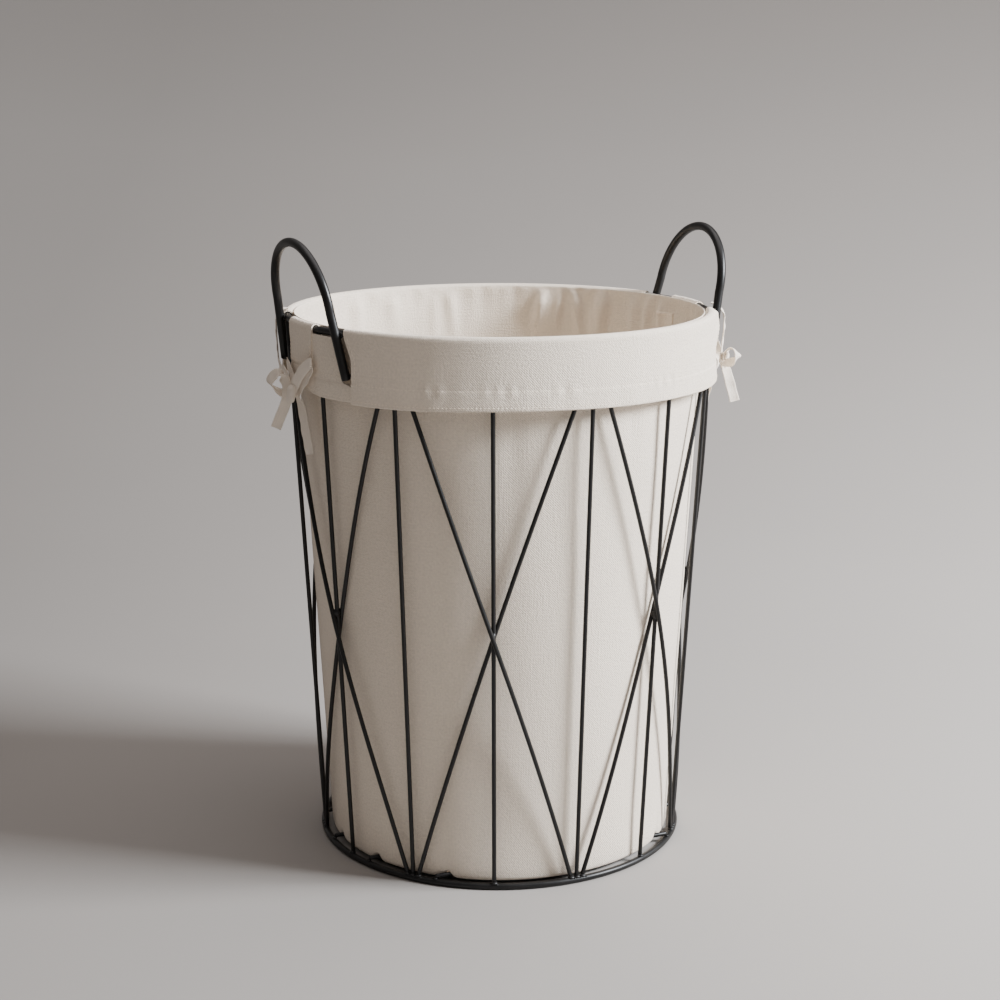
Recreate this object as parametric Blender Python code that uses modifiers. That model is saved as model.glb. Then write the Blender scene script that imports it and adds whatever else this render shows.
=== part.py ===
"""Wire laundry basket with a tied canvas liner.

A tapered cage of round steel wire stands on two base rings. Upright wires run straight up the
cone, and crossed wires form a tall diamond in each panel. Two handles are welded outside the rim
hoop. A canvas liner hangs inside the cage and folds over the rim as a deep cuff, which is open
where the handle legs pass and is closed there with two ribbon bows.

Metres, +Z up. The origin is on the floor at the basket's axis and the front faces -Y. Angles
are measured about the axis, from the front towards +X.
"""
import math

import bmesh
import bpy
import numpy as np
from mathutils import Vector

PART_NAME = "wire_laundry_basket"
GAP = 0.0003

# The cage: wire centres lie on a cone whose radius grows with height.
PANELS = 7
CONE_RADIUS = 0.1708
CONE_SLOPE = 0.0522
WIRE_RADIUS = 0.002
CROSSING_OFFSET = 0.0043
CROSSED_TOP = 0.474
CROSSED_TOP_TURN = math.radians(1.5)
CROSSED_FOOT_TURN = math.radians(1.9)
CROSSED_FOOT_LIFT = 0.0007
CROSSED_SEGMENTS = 10

# The rings, from the floor up.
BASE_RING_RADIUS = 0.172
BASE_ROD_RADIUS = 0.003
INNER_RING_RADIUS = 0.158
BAR_PITCH = 0.062
BAR_COUNT = 5
LOWER_HOOP_RADIUS = 0.1911
LOWER_HOOP_HEIGHT = 0.463
LOWER_HOOP_ROD = 0.0015
RIM_RADIUS = 0.1955
RIM_HEIGHT = 0.4995
RIM_ROD_RADIUS = 0.003
RING_STEPS = 56
RING_SIDES = 8
THIN_RING_SIDES = 6

# The handles: an arch on two legs that splay downwards, leaning out of the vertical.
HANDLE_ANGLE = math.radians(86.7)
HANDLE_ROD_RADIUS = 0.004
HANDLE_PLANE = 0.1919
HANDLE_LEAN_LEFT = 0.17
HANDLE_LEAN_RIGHT = 0.21
LEG_FOOT_HEIGHT = 0.460
LEG_FOOT_HALF = 0.072
ARCH_HALF_WIDTH = 0.0625
ARCH_SPRING_HEIGHT = 0.517
ARCH_RISE = 0.0558
ARCH_SEGMENTS = 20
LEG_SEGMENTS = 3
HANDLE_SIDE_RESOLUTION = 3

# The liner and its cuff.
LINER_THICKNESS = 0.0015
LINER_CLEARANCE = 0.0070
LINER_TOP = 0.4915
LINER_BEND_HEIGHT = 0.469
FLOOR_THICKNESS = 0.002
CUFF_THICKNESS = 0.0012
FOLD_CLEARANCE = 0.0009
CUFF_LOWER_EDGE = 0.442
CUFF_LOWER_RADIUS = 0.2009
TAB_LOWER_RADIUS = 0.1981
TAB_TOP = 0.486
SLIT_OUTER_TURN = math.radians(24.0)
TAB_PLAIN_TURN = math.radians(17.0)
TAB_BOW_TURN = math.radians(9.0)
STRAP_HALF_WIDTH = 0.026
FOLD_SEGMENTS = 6
CUFF_COLUMNS = 24
TAB_COLUMNS = 8
STRAP_COLUMNS = 4

# The ribbon ties, drawn here as round cord.
TIE_RADIUS = 0.0015
TIE_SPACING = 0.0085
TIE_SPAN_STEPS = 24

# The blank patch sewn inside the back of the liner.
PATCH_ANGLE = math.radians(96.0)
PATCH_WIDTH = 0.028
PATCH_HEIGHT = 0.024
PATCH_CENTRE_HEIGHT = 0.475
PATCH_CLEARANCE = 0.0014
PATCH_COLUMNS = 4

STEEL_COLOUR = (0.020, 0.020, 0.022, 1.0)
STEEL_ROUGHNESS = 0.45
STEEL_METALLIC = 0.2
CANVAS_COLOUR = (0.76, 0.71, 0.64, 1.0)
CANVAS_ROUGHNESS = 0.95


def clear_scene():
    """Remove every object that the start-up file holds."""
    for item in list(bpy.data.objects):
        bpy.data.objects.remove(item, do_unlink=True)


def make_material(name, colour, roughness, metallic):
    """One Principled BSDF material."""
    material = bpy.data.materials.new(name)
    material.use_nodes = True
    shader = material.node_tree.nodes["Principled BSDF"]
    shader.inputs["Base Color"].default_value = colour
    shader.inputs["Roughness"].default_value = roughness
    shader.inputs["Metallic"].default_value = metallic
    return material


def place(item, collection, colour, roughness, metallic):
    """Put an object in the part's collection with a material of its own."""
    item.data.materials.append(make_material(item.name, colour, roughness, metallic))
    collection.objects.link(item)
    return item


def place_steel(item, collection):
    """Satin black coated steel."""
    return place(item, collection, STEEL_COLOUR, STEEL_ROUGHNESS, STEEL_METALLIC)


def place_canvas(item, collection):
    """Unbleached cotton canvas."""
    return place(item, collection, CANVAS_COLOUR, CANVAS_ROUGHNESS, 0.0)


def on_cylinder(radius, angle, height):
    """The point at a radius, an angle from the front towards +X, and a height."""
    return Vector((radius * math.sin(angle), -radius * math.cos(angle), height))


def cone_radius(height):
    """The radius of the wire centres at a height."""
    return CONE_RADIUS + CONE_SLOPE * height


def tube(name, points, radius, side_resolution=2):
    """A round rod along straight segments between points, with filled ends."""
    curve = bpy.data.curves.new(name, "CURVE")
    curve.dimensions = "3D"
    curve.bevel_depth = radius
    curve.bevel_resolution = side_resolution
    curve.use_fill_caps = True
    spline = curve.splines.new("POLY")
    spline.points.add(len(points) - 1)
    for target, point in zip(spline.points, points):
        target.co = (point[0], point[1], point[2], 1.0)
    return bpy.data.objects.new(name, curve)


def turned(name, outline, steps=RING_STEPS):
    """A closed outline of (radius, height) pairs turned once about the axis."""
    mesh = bpy.data.meshes.new(name)
    count = len(outline)
    edges = [(i, (i + 1) % count) for i in range(count)]
    mesh.from_pydata([(radius, 0.0, height) for radius, height in outline], edges, [])
    item = bpy.data.objects.new(name, mesh)
    screw = item.modifiers.new("turn", "SCREW")
    screw.axis = "Z"
    screw.angle = 2.0 * math.pi
    screw.steps = steps
    screw.render_steps = steps
    screw.use_merge_vertices = True
    screw.merge_threshold = 0.00001
    return item


def ring(name, radius, height, rod_radius, sides=RING_SIDES):
    """A hoop of round rod whose section has a flat side down; rod_radius reaches that flat."""
    corner = rod_radius / math.cos(math.pi / sides)
    outline = []
    for i in range(sides):
        turn = math.pi / 2 - (i + 0.5) * 2.0 * math.pi / sides
        outline.append((radius + corner * math.cos(turn), height + corner * math.sin(turn)))
    return turned(name, outline)


def base_rings(collection):
    """The outer ring on the floor, and a thinner inner ring level with its top."""
    outer = ring("base_ring_outer", BASE_RING_RADIUS, BASE_ROD_RADIUS, BASE_ROD_RADIUS)
    place_steel(outer, collection)
    inner_height = 2.0 * BASE_ROD_RADIUS - WIRE_RADIUS
    inner = ring("base_ring_inner", INNER_RING_RADIUS, inner_height, WIRE_RADIUS)
    place_steel(inner, collection)


def base_bars(collection):
    """Parallel bars that lie on both base rings and carry the liner's floor."""
    height = 2.0 * BASE_ROD_RADIUS + GAP + WIRE_RADIUS
    for index in range(BAR_COUNT):
        offset = (index - (BAR_COUNT - 1) / 2) * BAR_PITCH
        half = math.sqrt(BASE_RING_RADIUS ** 2 - offset ** 2)
        ends = [(-half, offset, height), (half, offset, height)]
        place_steel(tube("base_bar_%d" % (index + 1), ends, WIRE_RADIUS), collection)


def hoops(collection):
    """The rim hoop, and the thin hoop inside the wires that the cuff hides."""
    place_steel(ring("rim_hoop", RIM_RADIUS, RIM_HEIGHT, RIM_ROD_RADIUS), collection)
    lower = ring("lower_hoop", LOWER_HOOP_RADIUS, LOWER_HOOP_HEIGHT, LOWER_HOOP_ROD,
                 THIN_RING_SIDES)
    place_steel(lower, collection)


def upright_wires(collection):
    """Straight wires from the outer base ring to the underside of the rim hoop."""
    foot = 2.0 * BASE_ROD_RADIUS + GAP
    top = RIM_HEIGHT - RIM_ROD_RADIUS - GAP
    for index in range(2 * PANELS):
        angle = math.pi * index / PANELS
        ends = [on_cylinder(cone_radius(height), angle, height) for height in (foot, top)]
        place_steel(tube("upright_wire_%02d" % (index + 1), ends, WIRE_RADIUS), collection)


def crossed_wires(collection):
    """Two wires a panel, each from beside one panel edge at the top to the other at the foot.

    They cross on the upright in the panel's middle. One passes outside it and one inside, so
    each is bowed off the cone by CROSSING_OFFSET times the squared sine of its travel.
    """
    foot = 2.0 * BASE_ROD_RADIUS + GAP + CROSSED_FOOT_LIFT
    panel_turn = 2.0 * math.pi / PANELS
    for index in range(PANELS):
        for side, letter in ((1, "a"), (-1, "b")):
            middle = (index + 0.5) * panel_turn
            start = middle - side * (panel_turn / 2 - CROSSED_TOP_TURN)
            end = middle + side * (panel_turn / 2 - CROSSED_FOOT_TURN)
            points = []
            for step in range(CROSSED_SEGMENTS + 1):
                travel = step / CROSSED_SEGMENTS
                height = CROSSED_TOP + (foot - CROSSED_TOP) * travel
                bow = side * CROSSING_OFFSET * math.sin(math.pi * travel) ** 2
                angle = start + (end - start) * travel
                points.append(on_cylinder(cone_radius(height) + bow, angle, height))
            name = "crossed_wire_%d%s" % (index + 1, letter)
            place_steel(tube(name, points, WIRE_RADIUS), collection)


def handle_outline():
    """The handle's centre line as (along the rim, height) pairs, from one foot to the other."""
    legs = []
    for travel in np.linspace(0.0, 1.0, LEG_SEGMENTS + 1)[:-1]:
        along = LEG_FOOT_HALF + (ARCH_HALF_WIDTH - LEG_FOOT_HALF) * travel
        legs.append((along, LEG_FOOT_HEIGHT + (ARCH_SPRING_HEIGHT - LEG_FOOT_HEIGHT) * travel))
    arch = []
    for turn in np.linspace(0.0, math.pi, ARCH_SEGMENTS + 1):
        height = ARCH_SPRING_HEIGHT + ARCH_RISE * math.sin(turn)
        arch.append((ARCH_HALF_WIDTH * math.cos(turn), height))
    return legs + arch + [(-along, height) for along, height in reversed(legs)]


def handles(collection):
    """Two arched handles in planes that lean outwards and pass just outside the rim hoop."""
    for name, angle, lean in (("handle_left", -HANDLE_ANGLE, HANDLE_LEAN_LEFT),
                              ("handle_right", HANDLE_ANGLE, HANDLE_LEAN_RIGHT)):
        outwards = Vector((math.sin(angle), -math.cos(angle), 0.0))
        tangent = Vector((math.cos(angle), math.sin(angle), 0.0))
        points = []
        for along, height in handle_outline():
            reach = HANDLE_PLANE + lean * (height - RIM_HEIGHT)
            points.append(outwards * reach + tangent * along + Vector((0.0, 0.0, height)))
        place_steel(tube(name, points, HANDLE_ROD_RADIUS, HANDLE_SIDE_RESOLUTION), collection)


def liner_outer_radius(height):
    """The outside of the liner's wall, just inside the wires."""
    return cone_radius(height) - LINER_CLEARANCE


def liner_foot():
    """The height of the liner's underside, just above the bars."""
    return 2.0 * BASE_ROD_RADIUS + 2.0 * WIRE_RADIUS + 2.0 * GAP


def liner(collection):
    """The liner's wall, which leans out to the rim hoop at its top, and its round floor."""
    top_radius = RIM_RADIUS - RIM_ROD_RADIUS - GAP
    heights = (LINER_BEND_HEIGHT, liner_foot())
    outer = [(top_radius, LINER_TOP)]
    outer += [(liner_outer_radius(height), height) for height in heights]
    inner = [(radius - LINER_THICKNESS, height) for radius, height in reversed(outer)]
    place_canvas(turned("liner_wall", outer + inner), collection)

    bm = bmesh.new()
    floor_radius = liner_outer_radius(liner_foot()) - LINER_THICKNESS - 2.0 * GAP
    bmesh.ops.create_cone(bm, cap_ends=True, segments=RING_STEPS, radius1=floor_radius,
                          radius2=floor_radius, depth=FLOOR_THICKNESS)
    mesh = bpy.data.meshes.new("liner_floor")
    bm.to_mesh(mesh)
    bm.free()
    floor = bpy.data.objects.new("liner_floor", mesh)
    floor.location = (0.0, 0.0, liner_foot() + FLOOR_THICKNESS / 2)
    place_canvas(floor, collection)


def fold_section(lower_radius, lower_height):
    """The middle line of cloth folded over the rim hoop, as (radius, height) pairs.

    It rises inside the hoop, goes over it in a half circle, and hangs outside it.
    """
    bend = RIM_ROD_RADIUS + FOLD_CLEARANCE + CUFF_THICKNESS / 2
    section = [(RIM_RADIUS - bend, LINER_TOP + GAP)]
    for turn in np.linspace(math.pi, 0.0, FOLD_SEGMENTS + 1):
        section.append((RIM_RADIUS + bend * math.cos(turn), RIM_HEIGHT + bend * math.sin(turn)))
    section.append((lower_radius, lower_height))
    return section


def swept_cloth(name, section, start, end, columns, collection):
    """Cloth whose middle line keeps one section from a start angle to an end angle."""
    bm = bmesh.new()
    rows = len(section)
    bmesh.ops.create_grid(bm, x_segments=columns, y_segments=rows - 1, size=1.0)
    for vert in bm.verts:
        travel = (vert.co.x + 1.0) / 2
        row = round((vert.co.y + 1.0) / 2 * (rows - 1))
        radius, height = section[row]
        vert.co = on_cylinder(radius, start + (end - start) * travel, height)
    mesh = bpy.data.meshes.new(name)
    bm.to_mesh(mesh)
    bm.free()
    item = bpy.data.objects.new(name, mesh)
    wall = item.modifiers.new("cloth", "SOLIDIFY")
    wall.thickness = CUFF_THICKNESS
    wall.offset = 0.0
    wall.use_even_offset = True
    place_canvas(item, collection)


def cuffs(collection):
    """The front and back of the cuff, each from one handle's outer slit to the other's."""
    section = fold_section(CUFF_LOWER_RADIUS, CUFF_LOWER_EDGE)
    front = HANDLE_ANGLE - SLIT_OUTER_TURN
    back = HANDLE_ANGLE + SLIT_OUTER_TURN
    swept_cloth("cuff_front", section, -front, front, CUFF_COLUMNS, collection)
    swept_cloth("cuff_back", section, back, 2.0 * math.pi - back, CUFF_COLUMNS,
                collection)


def tabs(collection):
    """Under each handle, a tab between the legs and the strap that carries it over the rim.

    On the side of the bow the tab stops short, so that the ribbons pass between it and the leg.
    """
    strap_turn = STRAP_HALF_WIDTH / RIM_RADIUS
    bend = RIM_ROD_RADIUS + FOLD_CLEARANCE + CUFF_THICKNESS / 2
    panel = [(RIM_RADIUS + bend, TAB_TOP), (TAB_LOWER_RADIUS, CUFF_LOWER_EDGE)]
    strap = fold_section(RIM_RADIUS + bend, TAB_TOP + GAP)
    for side, angle in (("left", -HANDLE_ANGLE), ("right", HANDLE_ANGLE)):
        swept_cloth("cuff_tab_" + side, panel, angle - TAB_BOW_TURN, angle + TAB_PLAIN_TURN,
                    TAB_COLUMNS, collection)
        swept_cloth("tab_strap_" + side, strap, angle - strap_turn, angle + strap_turn,
                    STRAP_COLUMNS, collection)


def smooth_route(points, spacing):
    """Points every spacing along a smooth curve through a route's own points."""
    first, last = 2 * points[0] - points[1], 2 * points[-1] - points[-2]
    knots = np.array([first, *points, last])
    travel = np.linspace(0.0, 1.0, TIE_SPAN_STEPS, endpoint=False)[:, None]
    pieces = []
    for before, start, end, after in zip(knots, knots[1:], knots[2:], knots[3:]):
        pieces.append(0.5 * (2 * start + (end - before) * travel
                             + (2 * before - 5 * start + 4 * end - after) * travel ** 2
                             + (3 * start - before - 3 * end + after) * travel ** 3))
    dense = np.concatenate(pieces + [knots[-2:-1]])
    run = np.concatenate([[0.0], np.cumsum(np.linalg.norm(np.diff(dense, axis=0), axis=1))])
    stops = np.linspace(0.0, run[-1], max(2, round(run[-1] / spacing)) + 1)
    return np.stack([np.interp(stops, run, dense[:, axis]) for axis in range(3)], axis=1)


def tie(name, route, collection):
    """One ribbon along a route of (degrees from the front, radius, height) points."""
    points = [np.array(on_cylinder(radius, math.radians(degrees), height))
              for degrees, radius, height in route]
    place_canvas(tube(name, smooth_route(points, TIE_SPACING), TIE_RADIUS), collection)


def ties(collection):
    """Two bows: at the left handle's rear leg and at the right handle's front leg.

    In each bow one ribbon comes over the rim beside the leg, makes the outward loop and a
    hanging tail. The other starts in the slit, makes the loop that lies on the tab, and hangs
    down in front of the wires.
    """
    tie("tie_left_outer", [
        (-108.6, 0.1948, 0.5054), (-108.7, 0.2000, 0.5050), (-108.8, 0.2045, 0.5015),
        (-108.9, 0.2064, 0.4940), (-108.9, 0.2064, 0.4850), (-109.0, 0.2058, 0.4720),
        (-108.6, 0.2052, 0.4620), (-106.0, 0.2040, 0.4545), (-101.0, 0.2036, 0.4530),
        (-95.5, 0.2032, 0.4540), (-91.0, 0.2032, 0.4480), (-89.6, 0.2034, 0.4400),
        (-89.8, 0.2085, 0.4362), (-91.2, 0.2180, 0.4425), (-91.5, 0.2220, 0.4490),
        (-90.3, 0.2160, 0.4562), (-88.4, 0.2100, 0.4475), (-88.8, 0.2095, 0.4345),
        (-90.0, 0.2112, 0.4245), (-91.0, 0.2137, 0.4160), (-92.0, 0.2168, 0.4057)],
        collection)
    tie("tie_left_inner", [
        (-94.5, 0.2025, 0.4660), (-92.9, 0.2022, 0.4605), (-90.3, 0.2026, 0.4547),
        (-88.0, 0.2032, 0.4480), (-87.4, 0.2036, 0.4400), (-86.6, 0.2070, 0.4395),
        (-85.0, 0.2075, 0.4475), (-82.4, 0.2068, 0.4580), (-79.6, 0.2064, 0.4660),
        (-77.4, 0.2048, 0.4712), (-78.2, 0.2026, 0.4660), (-80.4, 0.2024, 0.4570),
        (-83.0, 0.2024, 0.4490), (-85.6, 0.2022, 0.4420), (-87.0, 0.2004, 0.4335),
        (-86.4, 0.1996, 0.4285), (-85.4, 0.1990, 0.4200), (-84.5, 0.1988, 0.4090),
        (-83.2, 0.1986, 0.3970), (-82.2, 0.1984, 0.3860)], collection)
    tie("tie_right_outer", [
        (71.2, 0.1995, 0.5060), (70.5, 0.2055, 0.5040), (69.6, 0.2105, 0.4960),
        (67.6, 0.2102, 0.4860), (66.8, 0.2085, 0.4720), (67.0, 0.2075, 0.4590),
        (66.4, 0.2095, 0.4530),
        (65.0, 0.2170, 0.4530), (64.2, 0.2225, 0.4590), (65.2, 0.2185, 0.4650),
        (67.3, 0.2125, 0.4620), (67.4, 0.2120, 0.4500), (65.8, 0.2150, 0.4370),
        (64.6, 0.2205, 0.4165)], collection)
    tie("tie_right_inner", [
        (71.6, 0.2020, 0.4720), (70.4, 0.2025, 0.4620), (69.0, 0.2022, 0.4545),
        (71.5, 0.2022, 0.4550), (75.5, 0.2024, 0.4640), (79.0, 0.2032, 0.4760),
        (79.8, 0.2060, 0.4790), (77.5, 0.2072, 0.4720), (73.5, 0.2078, 0.4620),
        (70.9, 0.2075, 0.4510), (71.4, 0.2050, 0.4390), (73.6, 0.2010, 0.4210),
        (75.2, 0.1990, 0.4000)], collection)


def sewn_patch(collection):
    """A small blank patch on the inside of the liner, near the right handle."""
    half_turn = PATCH_WIDTH / 2 / cone_radius(PATCH_CENTRE_HEIGHT)
    low = PATCH_CENTRE_HEIGHT - PATCH_HEIGHT / 2
    high = PATCH_CENTRE_HEIGHT + PATCH_HEIGHT / 2
    inset = LINER_THICKNESS + GAP + PATCH_CLEARANCE
    section = [(liner_outer_radius(high) - inset, high), (liner_outer_radius(low) - inset, low)]
    swept_cloth("liner_patch", section, PATCH_ANGLE - half_turn, PATCH_ANGLE + half_turn,
                PATCH_COLUMNS, collection)


def main():
    clear_scene()
    collection = bpy.data.collections.new(PART_NAME)
    bpy.context.scene.collection.children.link(collection)
    base_rings(collection)
    base_bars(collection)
    hoops(collection)
    upright_wires(collection)
    crossed_wires(collection)
    handles(collection)
    liner(collection)
    cuffs(collection)
    tabs(collection)
    ties(collection)
    sewn_patch(collection)


main()
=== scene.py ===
"""A laundry basket: a cage of black coated wire with a canvas liner folded over its rim.

The steel is swept rod with weld beads where wires meet. The liner, its cuff, the tabs under the
handles, the ribbon bows, the stitches and the patch are sheets worked out with numpy: each is a
middle surface on a grid of two parameters, given a thickness. Metres, +Z up. Angles are measured
about the basket's axis, from the front (-Y) towards +X.
"""
import math

import bpy
import numpy as np
from bpy.props import FloatProperty, FloatVectorProperty, PointerProperty
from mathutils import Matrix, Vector


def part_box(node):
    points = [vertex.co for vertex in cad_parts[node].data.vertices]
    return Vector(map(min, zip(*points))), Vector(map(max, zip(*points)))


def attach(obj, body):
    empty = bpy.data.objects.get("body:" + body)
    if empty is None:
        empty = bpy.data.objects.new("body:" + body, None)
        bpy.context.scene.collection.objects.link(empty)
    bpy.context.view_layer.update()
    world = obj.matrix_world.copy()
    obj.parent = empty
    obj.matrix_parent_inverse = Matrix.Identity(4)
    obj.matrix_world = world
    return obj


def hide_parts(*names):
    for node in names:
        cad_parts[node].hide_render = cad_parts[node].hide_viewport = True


bl_info = {
    "name": "Laundry Basket",
    "version": (1, 0, 0),
    "blender": (4, 5, 0),
    "location": "3D View > Sidebar > Basket",
    "description": "Builds a wire laundry basket with a canvas liner tied round its handles",
    "category": "Add Mesh",
}

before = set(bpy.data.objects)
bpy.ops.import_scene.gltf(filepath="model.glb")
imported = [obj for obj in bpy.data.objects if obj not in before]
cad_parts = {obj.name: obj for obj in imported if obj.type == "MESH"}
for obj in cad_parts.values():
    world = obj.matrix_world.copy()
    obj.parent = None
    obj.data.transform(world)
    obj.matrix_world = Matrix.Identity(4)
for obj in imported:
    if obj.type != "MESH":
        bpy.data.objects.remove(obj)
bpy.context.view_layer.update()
BODY = "root"
FULL_TURN = 2.0 * math.pi
SIDES = (("left", -1), ("right", 1))
BLACK = (0.0, 0.0, 0.0, 1.0)
WHITE = (1.0, 1.0, 1.0, 1.0)


def box_middle(node):
    """The middle of a node's box."""
    low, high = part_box(node)
    return (low + high) / 2


def hoop_size(node):
    """A hoop's centre radius, rod radius and height, from the box of its node."""
    low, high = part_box(node)
    rod = (high.z - low.z) / 2
    return (high.x - low.x) / 2 - rod, rod, (high.z + low.z) / 2


BASE_RADIUS, BASE_ROD, BASE_HEIGHT = hoop_size("base_ring_outer")
INNER_RADIUS, INNER_ROD, INNER_HEIGHT = hoop_size("base_ring_inner")
LOWER_RADIUS, LOWER_ROD, LOWER_HEIGHT = hoop_size("lower_hoop")
RIM_RADIUS, RIM_ROD, RIM_HEIGHT = hoop_size("rim_hoop")
BAR_NODES = sorted(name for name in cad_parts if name.startswith("base_bar"))
UPRIGHT_NODES = sorted(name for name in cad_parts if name.startswith("upright_wire"))
CROSSED_NODES = sorted(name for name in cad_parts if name.startswith("crossed_wire"))

# The cage. Wire centres lie on a cone.
PANELS = 7
PANEL_TURN = FULL_TURN / PANELS
CONE_RADIUS = 0.1708
CONE_SLOPE = 0.0522
WIRE_RADIUS = 0.002
CROSSING_OFFSET = 0.0043
CROSSED_TOP_TURN = math.radians(1.5)
CROSSED_FOOT_TURN = math.radians(1.9)

# The handles.
HANDLE_ANGLE = math.radians(86.7)
HANDLE_ROD = 0.004
HANDLE_PLANE = 0.1919
HANDLE_LEAN = {-1: 0.17, 1: 0.21}
FOOT_HEIGHT = 0.460
FOOT_HALF = 0.072
ARCH_HALF = 0.0625
ARCH_SPRING = 0.517
ARCH_RISE = 0.0558

# Cloth in general: its thickness, and the fold over the rim hoop.
CLOTH = 0.0009
FOLD_INSIDE = 0.0046
FOLD_OUTSIDE = 0.0040
FOLD_CLEAR_ROWS = 10

# The liner's wall and floor.
LINER_CLEARANCE = 0.0072
LINER_TOP = 0.5026
LINER_SAG = 0.0065
LINER_CORNER = 0.0035
LINER_COLUMNS = 400
CORNER_ROWS = 8
FLOOR_MIDDLE = 0.012
FLOOR_RINGS = 44
FLOOR_SPOKES = 360
FLOOR_DROOP = 0.009
PATCH_LIFT = CLOTH * 0.95

# The cuff. SLIT_TURN is how far from a handle's middle its slit edges are.
CUFF_EDGE = 0.442
CUFF_RADIUS = 0.2011
CUFF_SEED = {"front": 60, "back": 70}
HANG_ROWS = 54
HEM_DEPTH = 0.0165
SLIT_TURN = math.radians(23.5)
LEG_LIFT = 0.0050
LEG_LIFT_TURN = math.radians(3.2)

# The tabs and straps. SEAM_HOLE is the height of the small hole in a tab's seam.
TAB_RADIUS = 0.1984
TAB_TOP = 0.4952
TAB_HEM = 0.0205
TAB_BOW_TURN = math.radians(8.2)
TAB_SEED = {-1: 81, 1: 82}
SEAM_HOLE = 0.4478
STRAP_HALF = 0.0260
STRAP_FOOT = 0.4660
STRAP_LIFT = 0.0012

# The stitches: their distance from a hem's or slit's edge, their pitch, and half the thread's
# depth and width.
EDGE_STITCH = 0.0028
SLIT_STITCH = 0.0040
STITCH_PITCH = 0.0036
THREAD_HALF = (0.00030, 0.00036)

# The stage.
CAMERA_PLACE = (-0.7099, -1.5848, 0.7248)
CAMERA_AIM = (0.0005, -0.0002, 0.3202)
CAMERA_LENS = 67.46
SENSOR_WIDTH = 36.0

# Each light's angle round the basket in degrees from the camera's, its lift in radians, its
# distance and size in metres, and its colour.
LIGHTS = {"key_light": (79.0, 0.60, 3.4, 1.1, (0.925, 0.955, 1.0)),
          "fill_light": (150.0, 1.42, 2.6, 2.2, (1.0, 0.94, 0.92))}
LIGHT_AIM = (0.0, 0.0, 0.25)
ROOM_COLOUR = (1.0, 0.935, 0.92, 1.0)
FLOOR_FLAT = 1.2
FLOOR_REACH = 9.0
FLOOR_RISE = 0.085

# The floor's painted light, paler towards the key light's side and towards the back: the cosine
# and sine of the angle by which the painted lit side lies clockwise of +X, where each ramp starts
# and how long it is in metres, and the darkest (painted shade) and palest (painted light) factor
# on the floor's colour.
FLOOR_PAINTED_LIGHT_WAY = (0.913, 0.409)
FLOOR_DARK_SIDE = 1.0
FLOOR_SIDE_RAMP = 2.6
FLOOR_DARK_FRONT = 0.5
FLOOR_BACK_RAMP = 3.0
FLOOR_PAINTED_SHADE = 0.82
FLOOR_PAINTED_LIGHT = 2.05


# ---------------------------------------------------------------- settings


class SteelSettings(bpy.types.PropertyGroup):
    """The coated steel."""

    colour: FloatVectorProperty(
        name="Coating", description="Colour of the powder coat", subtype="COLOR", size=4,
        min=0.0, max=1.0, default=(0.0045, 0.0043, 0.0043, 1.0))
    roughness: FloatProperty(
        name="Roughness", description="Roughness of the powder coat", subtype="FACTOR",
        min=0.05, max=1.0, default=0.38)
    bead: FloatProperty(
        name="Weld Bead", description="Half length of the weld bead at a wire's foot",
        subtype="DISTANCE", unit="LENGTH", min=0.0005, max=0.01, default=0.0034)


class ClothSettings(bpy.types.PropertyGroup):
    """The canvas of the liner and cuff."""

    colour: FloatVectorProperty(
        name="Canvas", description="Colour of the canvas", subtype="COLOR", size=4,
        min=0.0, max=1.0, default=(0.87, 0.762, 0.632, 1.0))
    twill: FloatProperty(
        name="Twill Pitch", description="Distance between the weave's diagonal ribs",
        subtype="DISTANCE", unit="LENGTH", min=0.0004, max=0.01, default=0.0021)
    fold: FloatProperty(
        name="Fold Depth", description="How far the liner's soft folds stand into the basket",
        subtype="DISTANCE", unit="LENGTH", min=0.0, max=0.02, default=0.0062)
    pucker: FloatProperty(
        name="Pucker Depth", description="Depth of the gathers just under the rim",
        subtype="DISTANCE", unit="LENGTH", min=0.0, max=0.005, default=0.0014)
    ripple: FloatProperty(
        name="Cuff Ripple", description="How far the cuff's hanging edge waves in and out",
        subtype="DISTANCE", unit="LENGTH", min=0.0, max=0.005, default=0.0009)


class RibbonSettings(bpy.types.PropertyGroup):
    """The tape of the bows."""

    colour: FloatVectorProperty(
        name="Tape", description="Colour of the cotton tape", subtype="COLOR", size=4,
        min=0.0, max=1.0, default=(0.86, 0.77, 0.66, 1.0))
    width: FloatProperty(
        name="Tape Width", description="Width of the cotton tape", subtype="DISTANCE",
        unit="LENGTH", min=0.004, max=0.02, default=0.009)


class StudioSettings(bpy.types.PropertyGroup):
    """The stage: its floor and its lights."""

    floor: FloatVectorProperty(
        name="Floor", description="Colour of the floor and the backdrop", subtype="COLOR",
        size=4, min=0.0, max=1.0, default=(0.298, 0.279, 0.261, 1.0))
    key: FloatProperty(
        name="Key Light", description="Power of the key light in watts", min=0.0, max=900.0,
        default=365.0)
    fill: FloatProperty(
        name="Fill Light", description="Power of the fill light in watts", min=0.0, max=200.0,
        default=33.0)
    sky: FloatProperty(
        name="Room Light", description="Strength of the even light of the room", min=0.0,
        max=2.0, default=0.34)


# ---------------------------------------------------------------- meshes


def on_cylinder(radius, angle, height):
    """Points at a radius, an angle from the front towards +X, and a height."""
    radius, angle, height = np.broadcast_arrays(radius, angle, height)
    return np.stack([radius * np.sin(angle), -radius * np.cos(angle), height], axis=-1)


def unit(vectors):
    """Vectors scaled to length one."""
    return vectors / np.maximum(np.linalg.norm(vectors, axis=-1, keepdims=True), 1e-12)


def smoothstep(low, high, value):
    """0 below low, 1 above high, and a smooth S between."""
    t = np.clip((value - low) / (high - low), 0.0, 1.0)
    return t * t * (3.0 - 2.0 * t)


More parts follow.
